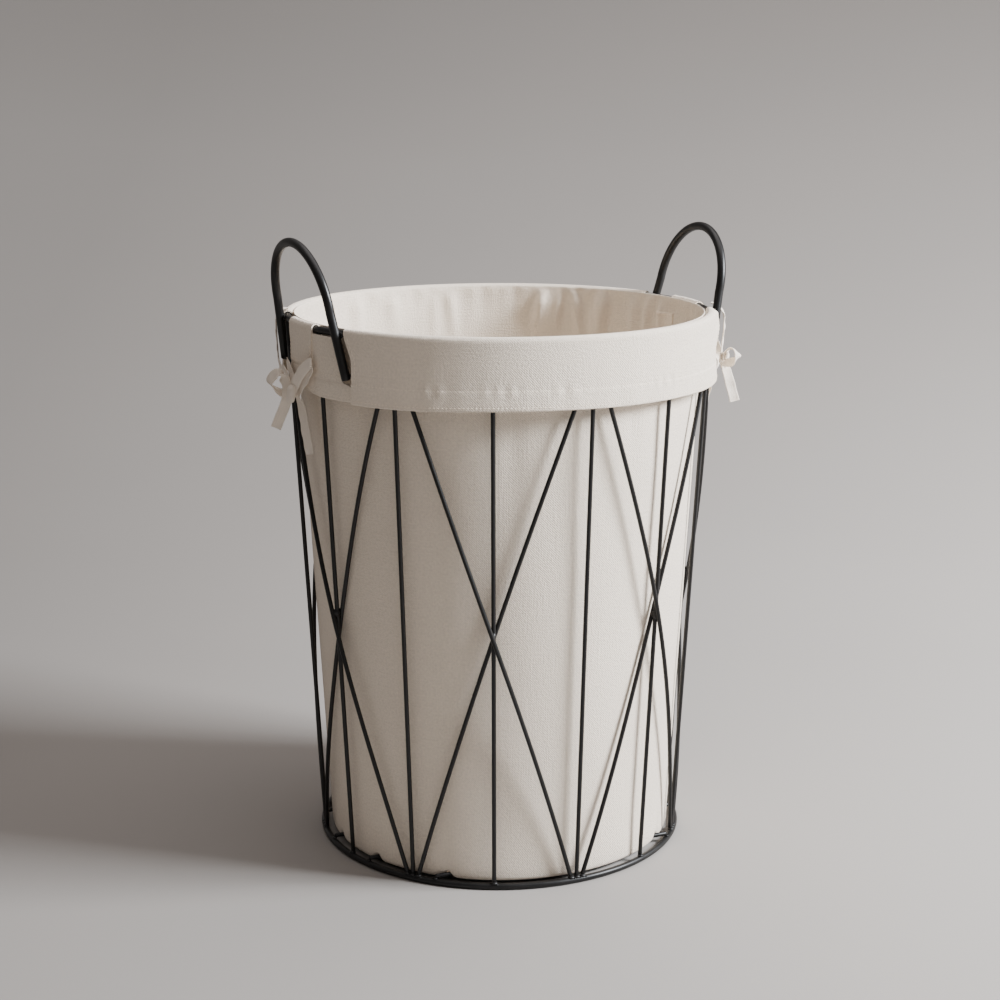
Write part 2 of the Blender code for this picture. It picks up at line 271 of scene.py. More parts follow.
def grid_corners(rows, columns, close_rows, close_columns):
    """The four (row, column) corners of each quad of a grid, counted past the end where the
    grid closes on itself."""
    row = np.arange(rows if close_rows else rows - 1)[:, None]
    column = np.arange(columns if close_columns else columns - 1)[None, :]
    row, column = np.broadcast_arrays(row, column)
    row, column = row.ravel(), column.ravel()
    rows_of = np.stack([row, row, row + 1, row + 1], axis=1)
    columns_of = np.stack([column, column + 1, column + 1, column], axis=1)
    return rows_of, columns_of


def ring_faces(rings, columns, first=None, last=None, flip=False):
    """Corner indices, and corners per face, of a stack of closed rings of points.

    Quads join each ring to the next. A fan of triangles shuts each end that is given the index
    of its centre point. flip turns every face over.
    """
    rows_of, columns_of = grid_corners(rings, columns, False, True)
    faces = [rows_of * columns + columns_of % columns]
    here = np.arange(columns)
    after = (here + 1) % columns
    if first is not None:
        faces.append(np.stack([after, here, np.full(columns, first)], axis=1))
    if last is not None:
        base = (rings - 1) * columns
        faces.append(np.stack([base + here, base + after, np.full(columns, last)], axis=1))
    if flip:
        faces = [face[:, ::-1] for face in faces]
    return (np.concatenate([face.ravel() for face in faces]),
            np.concatenate([np.full(len(face), face.shape[1]) for face in faces]))


def run_along(path):
    """The distance from a path's start to each of its points."""
    steps = np.linalg.norm(np.diff(path, axis=0), axis=1)
    return np.concatenate([[0.0], np.cumsum(steps)])


def put_mesh(name, points, loops, counts, uv=None):
    """A smooth-shaded mesh object from points, corner indices, corners per face and corner UVs."""
    mesh = bpy.data.meshes.new(name)
    mesh.vertices.add(len(points))
    mesh.vertices.foreach_set("co", np.asarray(points, dtype=np.float32).ravel())
    mesh.loops.add(len(loops))
    mesh.loops.foreach_set("vertex_index", np.asarray(loops, dtype=np.int32))
    mesh.polygons.add(len(counts))
    starts = np.concatenate([[0], np.cumsum(counts)[:-1]]).astype(np.int32)
    mesh.polygons.foreach_set("loop_start", starts)
    mesh.polygons.foreach_set("use_smooth", np.ones(len(counts), dtype=bool))
    mesh.update(calc_edges=True)
    if uv is not None:
        layer = mesh.uv_layers.new(name="cloth")
        layer.data.foreach_set("uv", np.asarray(uv, dtype=np.float32).ravel())
    if mesh.validate():
        raise RuntimeError(name + " has faces that Blender had to mend")
    piece = bpy.data.objects.new(name, mesh)
    bpy.context.scene.collection.objects.link(piece)
    return piece


def signed_volume(points, rows_of, columns_of, columns, rows):
    """Six times the volume inside a closed grid: its sign tells which way its faces point."""
    index = (rows_of % rows) * columns + columns_of % columns
    a, b, c, d = (points[index[:, k]] for k in range(4))
    return float(np.sum(a * np.cross(b, c)) + np.sum(a * np.cross(c, d)))


def sheet_solid(name, middle, thickness, close_columns, u, v):
    """Cloth of a given thickness about a middle surface.

    The surface's normal is the cross product of its two grid directions. The outer face is the
    middle plus half the thickness along it, the inner face the middle minus that, and the two
    are joined round the edges with one extra row each, so that the edge is round.
    """
    if close_columns:
        wrapped = np.concatenate([middle[:, -1:], middle, middle[:, :1]], axis=1)
        along = np.gradient(wrapped, axis=1)[:, 1:-1]
    else:
        along = np.gradient(middle, axis=1)
    across = np.gradient(middle, axis=0)
    normal = unit(np.cross(along, across))
    half = np.broadcast_to(np.asarray(thickness), middle.shape[:2])[..., None] / 2
    front = middle + normal * half
    back = (middle - normal * half)[::-1]
    first = middle[:1] - unit(across[:1]) * half[:1] * 0.8
    last = middle[-1:] + unit(across[-1:]) * half[-1:] * 0.8
    grid = np.concatenate([front, last, back, first])
    v = np.asarray(v)
    rows_v = np.concatenate([v, v[-1:], v[::-1], v[:1], v[:1]])
    return closed_grid(name, grid, close_columns, u, rows_v)


def closed_grid(name, grid, close_columns, u, rows_v):
    """A closed grid with an odd row at each turn: the caps of its open sides are fans of quads
    and a triangle at each turn."""
    rows, columns = grid.shape[:2]
    points = grid.reshape(-1, 3)
    rows_of, columns_of = grid_corners(rows, columns, True, close_columns)
    index = (rows_of % rows) * columns + columns_of % columns
    u = np.asarray(u)
    uv = np.stack([u[columns_of], rows_v[rows_of]], axis=-1)
    turn = -1 if signed_volume(points, rows_of, columns_of, columns, rows) < 0 else 1
    loops = [index[:, ::turn].ravel()]
    counts = [np.full(len(index), 4)]
    uvs = [uv[:, ::turn].reshape(-1, 2)]
    if not close_columns:
        lines = (rows - 2) // 2
        k = np.arange(lines - 1)
        quads = np.stack([k, k + 1, 2 * lines - 1 - k, 2 * lines - k], axis=1)
        ends = np.array([[0, 2 * lines, rows - 1], [lines - 1, lines, lines + 1]])
        for column, way in ((0, -turn), (columns - 1, turn)):
            for cap in (quads, ends):
                order = cap[:, ::way]
                loops.append((order * columns + column).ravel())
                counts.append(np.full(len(cap), cap.shape[1]))
                flat = np.stack([np.full(order.shape, u[column]), rows_v[order]], axis=-1)
                uvs.append(flat.reshape(-1, 2))
    return put_mesh(name, points, np.concatenate(loops), np.concatenate(counts),
                    np.concatenate(uvs))


def rod(name, path, normals, radius, sides, closed=False, end_round=0.6):
    """A round rod: circles of a radius carried along a path.

    Each circle lies across the path's direction, turned to the given normals. An open rod gets
    two smaller circles at each end, so that its edge is rounded, and a flat end face.
    """
    path = np.asarray(path, dtype=float)
    normals = np.broadcast_to(normals, path.shape)
    scale = np.ones(len(path))
    if closed:
        wrapped = np.concatenate([path[-1:], path, path[:1]])
        direction = unit(wrapped[2:] - wrapped[:-2])
    else:
        direction = unit(np.gradient(path, axis=0))
        tip = end_round * radius
        steps = ((0.0, 1.0 - end_round), (0.3, 1.0 - 0.3 * end_round), (1.0, 1.0))
        start = [path[0] + direction[0] * tip * step for step, _ in steps]
        stop = [path[-1] - direction[-1] * tip * step for step, _ in reversed(steps)]
        path = np.concatenate([start, path[1:-1], stop])
        scale = np.concatenate([[s for _, s in steps], scale[1:-1],
                                [s for _, s in reversed(steps)]])
        direction = np.concatenate([np.repeat(direction[:1], 3, 0), direction[1:-1],
                                    np.repeat(direction[-1:], 3, 0)])
        normals = np.concatenate([np.repeat(normals[:1], 3, 0), normals[1:-1],
                                  np.repeat(normals[-1:], 3, 0)])
    side = unit(normals - np.sum(normals * direction, axis=1, keepdims=True) * direction)
    other = np.cross(direction, side)
    turn = np.arange(sides) * FULL_TURN / sides
    circle = (side[:, None] * np.cos(turn)[None, :, None]
              + other[:, None] * np.sin(turn)[None, :, None])
    grid = path[:, None] + circle * (radius * scale)[:, None, None]
    run = run_along(path)
    count = len(path)
    rows_of, columns_of = grid_corners(count, sides, closed, True)
    index = (rows_of % count) * sides + columns_of % sides
    if closed:
        run = np.append(run, run[-1] + np.linalg.norm(path[-1] - path[0]))
    round_v = np.arange(sides + 1) * FULL_TURN * radius / sides
    uv = np.stack([run[rows_of], round_v[columns_of]], axis=-1)
    loops, counts, uvs = [index.ravel()], [np.full(len(index), 4)], [uv.reshape(-1, 2)]
    if not closed:
        around = np.arange(sides)
        loops += [around[::-1], (count - 1) * sides + around]
        counts.append(np.array([sides, sides]))
        uvs.append(np.zeros((2 * sides, 2)))
    return put_mesh(name, grid.reshape(-1, 3), np.concatenate(loops), np.concatenate(counts),
                    np.concatenate(uvs))


def blobs(name, centres, ways, sizes, rows=5, columns=8):
    """Low round beads, one to a centre.

    Each is an ellipsoid: its poles lie along the second of its three directions, and sizes are
    its half lengths along them.
    """
    centres = np.asarray(centres)
    tilt = np.linspace(0.0, math.pi, rows + 2)[1:-1]
    turn = np.arange(columns) * FULL_TURN / columns
    ring = np.stack([np.outer(np.sin(tilt), np.cos(turn)),
                     np.repeat(np.cos(tilt)[:, None], columns, axis=1),
                     np.outer(np.sin(tilt), np.sin(turn))], axis=-1).reshape(-1, 3)
    unit_points = np.concatenate([ring, [[0, 1, 0], [0, -1, 0]]])
    scaled = unit_points[None] * np.asarray(sizes)[:, None]
    points = centres[:, None] + np.einsum("nkd,nde->nke", scaled, ways)
    poles = rows * columns
    right_handed = np.linalg.det(np.asarray(ways)[0]) > 0
    loops, counts = ring_faces(rows, columns, poles, poles + 1, flip=right_handed)
    shift = np.arange(len(centres))[:, None] * len(unit_points)
    return put_mesh(name, points.reshape(-1, 3), (loops[None] + shift).ravel(),
                    np.tile(counts, len(centres)))


# ---------------------------------------------------------------- shaders


class Socket:
    """A shader socket, wrapped so that shader maths reads as Python expressions."""

    def __init__(self, board, value):
        self.board = board
        self.value = value

    def _maths(self, operation, *inputs):
        return self.board.node("ShaderNodeMath", {"operation": operation},
                               dict(enumerate(inputs)))

    def __add__(self, other):
        return self._maths("ADD", self, other)

    __radd__ = __add__

    def __sub__(self, other):
        return self._maths("SUBTRACT", self, other)

    def __rsub__(self, other):
        return self._maths("SUBTRACT", other, self)

    def __mul__(self, other):
        return self._maths("MULTIPLY", self, other)

    __rmul__ = __mul__

    def __truediv__(self, other):
        return self._maths("DIVIDE", self, other)

    def sine(self):
        return self._maths("SINE", self)

    def clamp(self):
        return self.board.node("ShaderNodeClamp", {}, {"Value": self})


class Board:
    """A material's node tree and the one way to add a node to it."""

    def __init__(self, name):
        self.material = bpy.data.materials.new(name)
        self.material.use_nodes = True
        self.tree = self.material.node_tree
        self.tree.nodes.clear()

    def node(self, kind, settings, inputs, output=0):
        """Add a node: its settings are set first, then its sockets get values or links."""
        made = self.tree.nodes.new(kind)
        for key, value in settings.items():
            if key == "stops":
                self._stops(made.color_ramp, value)
            else:
                setattr(made, key, value)
        for key, value in inputs.items():
            if isinstance(value, Socket):
                self.tree.links.new(value.value, made.inputs[key])
            else:
                made.inputs[key].default_value = value
        return Socket(self, made.outputs[output]) if made.outputs else None

    @staticmethod
    def _stops(ramp, stops):
        while len(ramp.elements) < len(stops):
            ramp.elements.new(0.5)
        for element, (position, colour) in zip(ramp.elements, stops):
            element.position = position
            element.color = colour

    def place(self, source, scale):
        """Object coordinates in metres, or the piece's own UV map in metres, scaled."""
        if source == "UV":
            point = self.node("ShaderNodeUVMap", {"uv_map": "cloth"}, {})
        else:
            point = self.node("ShaderNodeTexCoord", {}, {}, output="Object")
        return self.node("ShaderNodeMapping", {}, {"Vector": point, "Scale": scale})

    def noise(self, where, scale, detail=3.0, roughness=0.5):
        """Smooth noise from 0 to 1, finer as the scale grows."""
        return self.node("ShaderNodeTexNoise", {}, {"Vector": where, "Scale": scale,
                                                    "Detail": detail, "Roughness": roughness})

    def blend(self, factor, first, second, mode="MIX"):
        """Mix two colours."""
        return self.node("ShaderNodeMix", {"data_type": "RGBA", "blend_type": mode},
                         {0: factor, 6: first, 7: second}, output=2)

    def step(self, value, low, high):
        """0 below low and 1 above high, with a straight ramp between."""
        return self.node("ShaderNodeValToRGB", {"stops": [(low, BLACK), (high, WHITE)]},
                         {"Fac": value})

    def bump(self, height, strength, distance):
        """A Bump node on a height."""
        return self.node("ShaderNodeBump", {}, {"Strength": strength, "Distance": distance,
                                                "Height": height})

    def first_two(self, vector):
        """A vector's first and second coordinate."""
        return [self.node("ShaderNodeSeparateXYZ", {}, {"Vector": vector}, output=index)
                for index in (0, 1)]

    def span(self, value, low, high):
        """A 0 to 1 value spread between low and high."""
        return value * (high - low) + low

    def finish(self, shader_inputs):
        """The Principled BSDF and the output."""
        shader = self.node("ShaderNodeBsdfPrincipled", {}, shader_inputs)
        self.node("ShaderNodeOutputMaterial", {}, {"Surface": shader})
        return self.material


def tinted(colour, factor):
    """A colour made lighter or darker in plain numbers."""
    return (colour[0] * factor, colour[1] * factor, colour[2] * factor, 1.0)


def steel_material(name, colour, roughness):
    """Powder coat: near-black, faintly pebbled, with duller dusty places and worn-in specks."""
    board = Board(name)
    where = board.place("Object", (1.0, 1.0, 1.0))
    pebble = board.noise(where, 1500.0, 2.0)
    cloud = board.noise(where, 38.0, 4.0)
    speck = board.noise(where, 420.0, 1.0)
    dust = board.step(cloud, 0.52, 0.72)
    fleck = board.step(speck, 0.70, 0.78)
    base = board.blend(dust * 0.5, colour, tinted(colour, 2.2))
    base = board.blend(fleck * 0.3, base, tinted(colour, 4.0))
    rough = board.span(cloud, roughness - 0.10, roughness + 0.14)
    return board.finish({"Base Color": base, "Roughness": rough,
                         "Normal": board.bump(pebble, 0.22, 0.0002),
                         "Metallic": 0.0, "Specular IOR Level": 0.36})


def weave(board, pitch):
    """A twill weave from the UV map: diagonal ribs crossed by the yarns that make them.

    The rib is a sine of u + v, each yarn set a sine of u or v alone, and slow noise bends all
    of them a little, as in hand-sewn cotton.
    """
    uv = board.place("UV", (1.0, 1.0, 1.0))
    wander = board.noise(uv, 60.0, 2.0)
    u, v = board.first_two(uv)
    turn = FULL_TURN / pitch
    bend = (wander - 0.5) * 3.2
    rib = ((u + v) * turn + bend).sine()
    warp = (u * (turn * 2.0) + bend).sine()
    weft = (v * (turn * 2.0) + bend).sine()
    height = rib * 0.5 + warp * 0.28 + weft * 0.22
    return uv, height


def canvas_material(name, colour, pitch, nap=1.0):
    """Unbleached cotton: a twill weave, thicker yarns here and there, flecks of husk, soft
    cloudy shade, and a low sheen."""
    board = Board(name)
    uv, height = weave(board, pitch)
    slub_u = board.noise(board.place("UV", (26.0, 900.0, 1.0)), 1.0, 2.0)
    slub_v = board.noise(board.place("UV", (900.0, 30.0, 1.0)), 1.0, 2.0)
    cloud = board.noise(uv, 14.0, 4.0, 0.6)
    husk = board.noise(uv, 520.0, 1.0)
    fleck = board.step(husk, 0.72, 0.80)
    grain = board.noise(uv, 460.0, 3.0, 0.6)
    shade = (height * 0.18 + grain * 1.5 + slub_u * 0.35 + slub_v * 0.35 + cloud * 0.3
             - 0.75).clamp()
    base = board.blend(shade, tinted(colour, 0.84), tinted(colour, 1.10))
    warm = (colour[0] * 0.80, colour[1] * 0.70, colour[2] * 0.56, 1.0)
    base = board.blend(fleck * 0.30, base, warm)
    relief = height * 0.5 + grain * 2.4 + slub_u * 0.8 + slub_v * 0.8
    return board.finish({"Base Color": base, "Roughness": board.span(cloud, 0.86, 0.98),
                         "Normal": board.bump(relief, 0.8 * nap, 0.0005),
                         "Specular IOR Level": 0.25, "Sheen Weight": 0.25,
                         "Sheen Roughness": 0.5, "Sheen Tint": (1.0, 0.97, 0.92, 1.0)})


def tape_material(name, colour):
    """Cotton tape: fine ribs across it and fine yarns along it."""
    board = Board(name)
    uv = board.place("UV", (1.0, 1.0, 1.0))
    u, v = board.first_two(uv)
    bend = (board.noise(uv, 200.0, 2.0) - 0.5) * 2.0
    rib = (u * (FULL_TURN / 0.0011) + bend).sine()
    yarn = (v * (FULL_TURN / 0.0009) + bend).sine()
    height = rib * 0.5 + yarn * 0.5
    slub = board.noise(board.place("UV", (40.0, 1400.0, 1.0)), 1.0, 2.0)
    cloud = board.noise(uv, 40.0, 3.0)
    shade = (height * 0.12 + slub * 0.5 + cloud * 0.5).clamp()
    base = board.blend(shade, tinted(colour, 0.82), tinted(colour, 1.12))
    return board.finish({"Base Color": base, "Roughness": board.span(cloud, 0.85, 0.97),
                         "Normal": board.bump(height + slub, 0.5, 0.0003),
                         "Specular IOR Level": 0.25, "Sheen Weight": 0.2,
                         "Sheen Roughness": 0.5})


def thread_material(name, colour):
    """Sewing thread: pale cotton with a twist."""
    board = Board(name)
    where = board.place("Object", (1.0, 1.0, 1.0))
    twist = board.noise(where, 2600.0, 2.0)
    cloud = board.noise(where, 90.0, 2.0)
    base = board.blend(board.span(cloud, 0.2, 0.8), tinted(colour, 0.88), tinted(colour, 1.15))
    return board.finish({"Base Color": base, "Roughness": board.span(twist, 0.6, 0.85),
                         "Normal": board.bump(twist, 0.5, 0.0002),
                         "Specular IOR Level": 0.35})


def floor_material(name, colour):
    """A matt floor with painted light: paler towards the key light's side and far away, with the
    faintest mottling.

    The painted light is 0.6 of how far a point lies towards the key light's side and 0.4 of how
    far it lies towards the back, each a straight ramp over some metres.
    """
    board = Board(name)
    where = board.place("Object", (1.0, 1.0, 1.0))
    cloud = board.noise(where, 1.3, 5.0, 0.55)
    grit = board.noise(where, 240.0, 2.0)
    x, y = board.first_two(where)
    cosine, sine = FLOOR_PAINTED_LIGHT_WAY
    # Painted light and shade: the floor's colour is paler towards the key light and the back, and
    # darker towards the front and the side away from the key light.
    across = ((x * cosine - y * sine + FLOOR_DARK_SIDE) / FLOOR_SIDE_RAMP).clamp()
    away = ((x * sine + y * cosine - FLOOR_DARK_FRONT) / FLOOR_BACK_RAMP).clamp()
    painted_light = (across * 0.6 + away * 0.4 + (cloud - 0.5) * 0.05).clamp()
    base = board.blend(painted_light, tinted(colour, FLOOR_PAINTED_SHADE), tinted(colour, FLOOR_PAINTED_LIGHT))
    return board.finish({"Base Color": base, "Roughness": board.span(cloud, 0.75, 0.85),
                         "Normal": board.bump(grit, 0.04, 0.001),
                         "Specular IOR Level": 0.2})


def dress(piece, material, slot, *nodes):
    """Give a piece its material and its body, and the nodes that it stands for. The slot is not
    used.
    """
    piece.data.materials.clear()
    piece.data.materials.append(material)
    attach(piece, BODY)
    if nodes:
        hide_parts(*nodes)
    return piece


def shared(name, maker, *values):
    """A material made once and used by several pieces."""
    return bpy.data.materials.get(name) or maker(name, *values)


def steel():
    """The powder coat, as the panel sets it."""
    settings = bpy.context.scene.basket_steel
    return shared("black_powder_coat", steel_material, tuple(settings.colour),
                  settings.roughness)


def canvas():
    """The canvas, as the panel sets it."""
    settings = bpy.context.scene.basket_cloth
    return shared("twill_canvas", canvas_material, tuple(settings.colour), settings.twill)


def thread():
    """The sewing thread, a little paler than the canvas."""
    return shared("cotton_thread", thread_material,
                  tinted(tuple(bpy.context.scene.basket_cloth.colour), 1.12))


# ---------------------------------------------------------------- the steel cage


def cone_radius(height):
    """The radius of the wire centres at a height."""
    return CONE_RADIUS + CONE_SLOPE * height


def radial(angle):
    """The direction straight out from the axis at an angle."""
    return on_cylinder(1.0, angle, 0.0)


def tangent(angle):
    """The direction along the rim at an angle, towards greater angles."""
    return np.stack([np.cos(angle), np.sin(angle), np.zeros_like(angle)], axis=-1)


def hoop(name, radius, height, rod_radius, segments=224, sides=20):
    """A hoop: a circle about the axis, swept with a round section."""
    angle = np.arange(segments) * FULL_TURN / segments
    return rod(name, on_cylinder(radius, angle, height), radial(angle), rod_radius, sides,
               closed=True)


def crossed_path(panel, side, count):
    """A crossed wire's angle, radius and height, top to foot.

    Angle and height go evenly along the cone. The wire bows off the cone by the crossing offset
    times the squared sine of its travel, outwards on one side and inwards on the other.
    """
    low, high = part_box(CROSSED_NODES[0])
    travel = np.linspace(0.0, 1.0, count)
    middle = (panel + 0.5) * PANEL_TURN
    start = middle - side * (PANEL_TURN / 2 - CROSSED_TOP_TURN)
    end = middle + side * (PANEL_TURN / 2 - CROSSED_FOOT_TURN)
    height = high.z + (low.z - high.z) * travel
    bow = side * CROSSING_OFFSET * np.sin(math.pi * travel) ** 2
    return start + (end - start) * travel, cone_radius(height) + bow, height


def handle_path(sign):
    """A handle's centre line and its plane's normal.

    The two legs are straight and splay to their feet, the arch is half an ellipse, and the
    whole outline leans out of the vertical as it rises.
    """
    leg = np.linspace(0.0, 1.0, 10)[:-1]
    along = FOOT_HALF + (ARCH_HALF - FOOT_HALF) * leg
    height = FOOT_HEIGHT + (ARCH_SPRING - FOOT_HEIGHT) * leg
    turn = np.linspace(0.0, math.pi, 73)
    along = np.concatenate([along, ARCH_HALF * np.cos(turn), -along[::-1]])
    height = np.concatenate([height, ARCH_SPRING + ARCH_RISE * np.sin(turn), height[::-1]])
    angle = sign * HANDLE_ANGLE
    out = HANDLE_PLANE + HANDLE_LEAN[sign] * (height - RIM_HEIGHT)
    path = radial(np.full(len(out), angle)) * out[:, None]
    path = path + tangent(np.full(len(out), angle)) * along[:, None]
    path[:, 2] = height
    return path, radial(angle) - np.array([0.0, 0.0, HANDLE_LEAN[sign]])


def leg_turn(height, sign):
    """How far round from a handle's middle its leg's centre is, at a height."""
    travel = (height - FOOT_HEIGHT) / (ARCH_SPRING - FOOT_HEIGHT)
    along = FOOT_HALF + (ARCH_HALF - FOOT_HALF) * travel
    out = HANDLE_PLANE + HANDLE_LEAN[sign] * (height - RIM_HEIGHT)
    return np.arctan2(along, out)


class BASKET_OT_rings(bpy.types.Operator):
    """Sweep the base rings, the bars, the rim hoop and the lower hoop"""

    bl_idname = "basket.rings"
    bl_label = "Rings and Bars"

    def execute(self, context):
        for node, (radius, rod_radius, height) in (
                ("base_ring_outer", (BASE_RADIUS, BASE_ROD, BASE_HEIGHT)),
                ("base_ring_inner", (INNER_RADIUS, INNER_ROD, INNER_HEIGHT)),
                ("lower_hoop", (LOWER_RADIUS, LOWER_ROD, LOWER_HEIGHT)),
                ("rim_hoop", (RIM_RADIUS, RIM_ROD, RIM_HEIGHT))):
            piece = hoop(node + "_rod", radius, height, rod_radius)
            dress(piece, steel(), "wire_steel", node)
        for node in BAR_NODES:
            low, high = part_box(node)
            middle = box_middle(node)
            x = np.linspace(low.x, high.x, 24)
            path = np.stack([x, np.full(24, middle.y), np.full(24, middle.z)], axis=1)
            piece = rod(node + "_rod", path, (0.0, 0.0, 1.0), WIRE_RADIUS, 14)
            dress(piece, steel(), "wire_steel", node)
        return {"FINISHED"}


class BASKET_OT_wires(bpy.types.Operator):
    """Sweep the upright and the crossed wires"""

    bl_idname = "basket.wires"
    bl_label = "Wires"

    def execute(self, context):
        for index, node in enumerate(UPRIGHT_NODES):
            low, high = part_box(node)
            height = np.linspace(low.z - 0.0006, high.z + 0.0004, 40)
            angle = index * PANEL_TURN / 2
            path = on_cylinder(cone_radius(height), angle, height)
            piece = rod(node + "_rod", path, radial(angle), WIRE_RADIUS, 14)
            dress(piece, steel(), "wire_steel", node)
        for index, node in enumerate(CROSSED_NODES):
            side = 1 if node.endswith("a") else -1
            angle, radius, height = crossed_path(index // 2, side, 90)
            piece = rod(node + "_rod", on_cylinder(radius, angle, height), radial(angle),
                        WIRE_RADIUS, 14)
            dress(piece, steel(), "wire_steel", node)
        return {"FINISHED"}


class BASKET_OT_handles(bpy.types.Operator):
    """Bend the two handles"""

    bl_idname = "basket.handles"
    bl_label = "Handles"

    def execute(self, context):
        for side, sign in SIDES:
            node = "handle_" + side
            path, normal = handle_path(sign)
            piece = rod(node + "_rod", path, normal, HANDLE_ROD, 28, end_round=0.22)
            dress(piece, steel(), "handle_steel", node)
        return {"FINISHED"}


class BASKET_OT_welds(bpy.types.Operator):
    """Set the weld beads where the wires, rings, bars and handles meet"""

    bl_idname = "basket.welds"
    bl_label = "Weld Beads"

    @staticmethod
    def ways(angle):
        """Along the rim, outwards and upwards at each angle."""
        along, out = tangent(angle), radial(angle)
        return np.stack([along, out, np.cross(along, out)], axis=1)

    def execute(self, context):
        bead = context.scene.basket_steel.bead
        upright = np.arange(2 * PANELS) * PANEL_TURN / 2
        ring_top = BASE_HEIGHT + BASE_ROD
        ends = [crossed_path(panel, side, 2) for panel in range(PANELS) for side in (1, -1)]
        crossed_foot = np.array([angle[-1] for angle, _, _ in ends])
        crossed_top = np.array([angle[0] for angle, _, _ in ends])
        crossing = crossed_path(0, 1, 3)[2][1]
        foot = np.concatenate([upright, crossed_foot])
        # Each set's name, angles, radius and height, and a bead's half sizes along the rim,
        # outwards and upwards.
        spots = [
            ("weld_feet", foot, BASE_RADIUS, ring_top, (bead, bead * 0.85, bead * 0.5)),
            ("weld_drops", foot + 0.016, BASE_RADIUS + 0.0016, ring_top - 0.0008,
             (0.0012, 0.0012, 0.0008)),
            ("weld_tops", upright, RIM_RADIUS, RIM_HEIGHT - RIM_ROD,
             (bead, bead * 0.8, bead * 0.4)),
            ("weld_hoop", np.concatenate([upright, crossed_top]), LOWER_RADIUS + LOWER_ROD,
             LOWER_HEIGHT, (bead * 0.9, bead * 0.35, bead * 0.55)),
            ("weld_crossings", (np.arange(PANELS) + 0.5) * PANEL_TURN, cone_radius(crossing),
             crossing + 0.0010, (0.0026, 0.0046, 0.0048)),
        ]
        for name, angle, radius, height, size in spots:
            centres = on_cylinder(radius, angle, height)
            piece = blobs(name, centres, self.ways(angle), np.tile(size, (len(angle), 1)))
            dress(piece, steel(), "wire_steel")
        legs = np.array([sign * HANDLE_ANGLE + leg * leg_turn(np.array(RIM_HEIGHT), sign)
                         for sign in (-1, 1) for leg in (-1, 1)])
        centres = on_cylinder(RIM_RADIUS + RIM_ROD + 0.0006, legs, RIM_HEIGHT - 0.0010)
        size = np.tile((0.0058, 0.0016, 0.0036), (4, 1))
        piece = blobs("weld_handles", centres, self.ways(legs), size, 7, 12)
        dress(piece, steel(), "handle_steel")
        bars = []
        for node in BAR_NODES:
            y, z = box_middle(node).y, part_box(node)[0].z
            for radius in (BASE_RADIUS, INNER_RADIUS):
                x = math.sqrt(radius ** 2 - y ** 2)
                bars += [(x, y, z), (-x, y, z)]
        ways = np.broadcast_to(np.eye(3), (len(bars), 3, 3))
        piece = blobs("weld_bars", bars, ways, np.tile((0.0022, 0.0030, 0.0012),
                                                       (len(bars), 1)))
        dress(piece, steel(), "wire_steel")
        return {"FINISHED"}


# ---------------------------------------------------------------- the liner


def waves(angle, seed, low, high, count):
    """A smooth uneven wave round the basket: a sum of cosines with whole numbers of waves
    between low and high, seeded amounts and phases, scaled to about -1 to 1."""
    dice = np.random.default_rng(seed)
    numbers = dice.integers(low, high + 1, count)
    phases = dice.uniform(0.0, FULL_TURN, count)
    amounts = dice.uniform(0.4, 1.0, count)
    total = sum(amount * np.cos(number * angle + phase)
                for number, phase, amount in zip(numbers, phases, amounts))
    return total / np.sqrt(np.sum(amounts ** 2))


# Folds with a set place: degrees from the front, width and slant as angles, drop below the
# rim in metres, and size.
SET_FOLDS = (
    (141.5, 0.024, 0.040, 0.95, 1.2), (136.5, 0.020, 0.034, 0.60, 0.6),
    (132.0, 0.026, 0.050, 0.90, -0.8), (121.0, 0.030, 0.070, 0.80, 0.5),
    (104.0, 0.024, 0.060, 0.75, 0.4), (172.0, 0.028, 0.045, 0.55, -0.6))


def foot_sag(angle, radius):
    """How far the wall's foot hangs below the tops of the bars: nothing where a bar carries
    it, and LINER_SAG between bars."""
    carried = np.zeros_like(angle)
    for node in BAR_NODES:
        y = box_middle(node).y
        end = math.atan2(math.sqrt(radius ** 2 - y ** 2), -y)
        for place in (end, -end):
            away = (angle - place + math.pi) % FULL_TURN - math.pi
            carried = np.maximum(carried, np.exp(-(away / 0.026) ** 2))
    return LINER_SAG * (1.0 - carried)


def soft_folds(angle, height, depth):
    """How far the liner's wall stands into the basket.

    Folds hang from the rim: each is a bell across its angle, highest near the rim and dying
    out below it, with a slant. A few have set places and the rest are seeded.
    """
    dice = np.random.default_rng(41)
    folds = [(math.radians(place), *rest) for place, *rest in SET_FOLDS]
    for centre in np.linspace(0.0, FULL_TURN, 23, endpoint=False):
        folds.append((centre + dice.uniform(-0.10, 0.10), dice.uniform(0.022, 0.060),
                      dice.uniform(0.035, 0.130), dice.uniform(0.15, 0.9) ** 1.5,
                      dice.uniform(-0.5, 0.5)))
    below = np.maximum(LINER_TOP - height, 0.0)
    total = np.zeros(np.broadcast(angle, height).shape)
    for centre, width, drop, size, slant in folds:
        away = (angle - centre - slant * below + math.pi) % FULL_TURN - math.pi
        total = total + size * np.exp(-(away / width) ** 2 - (below / drop) ** 2)
    return depth * total


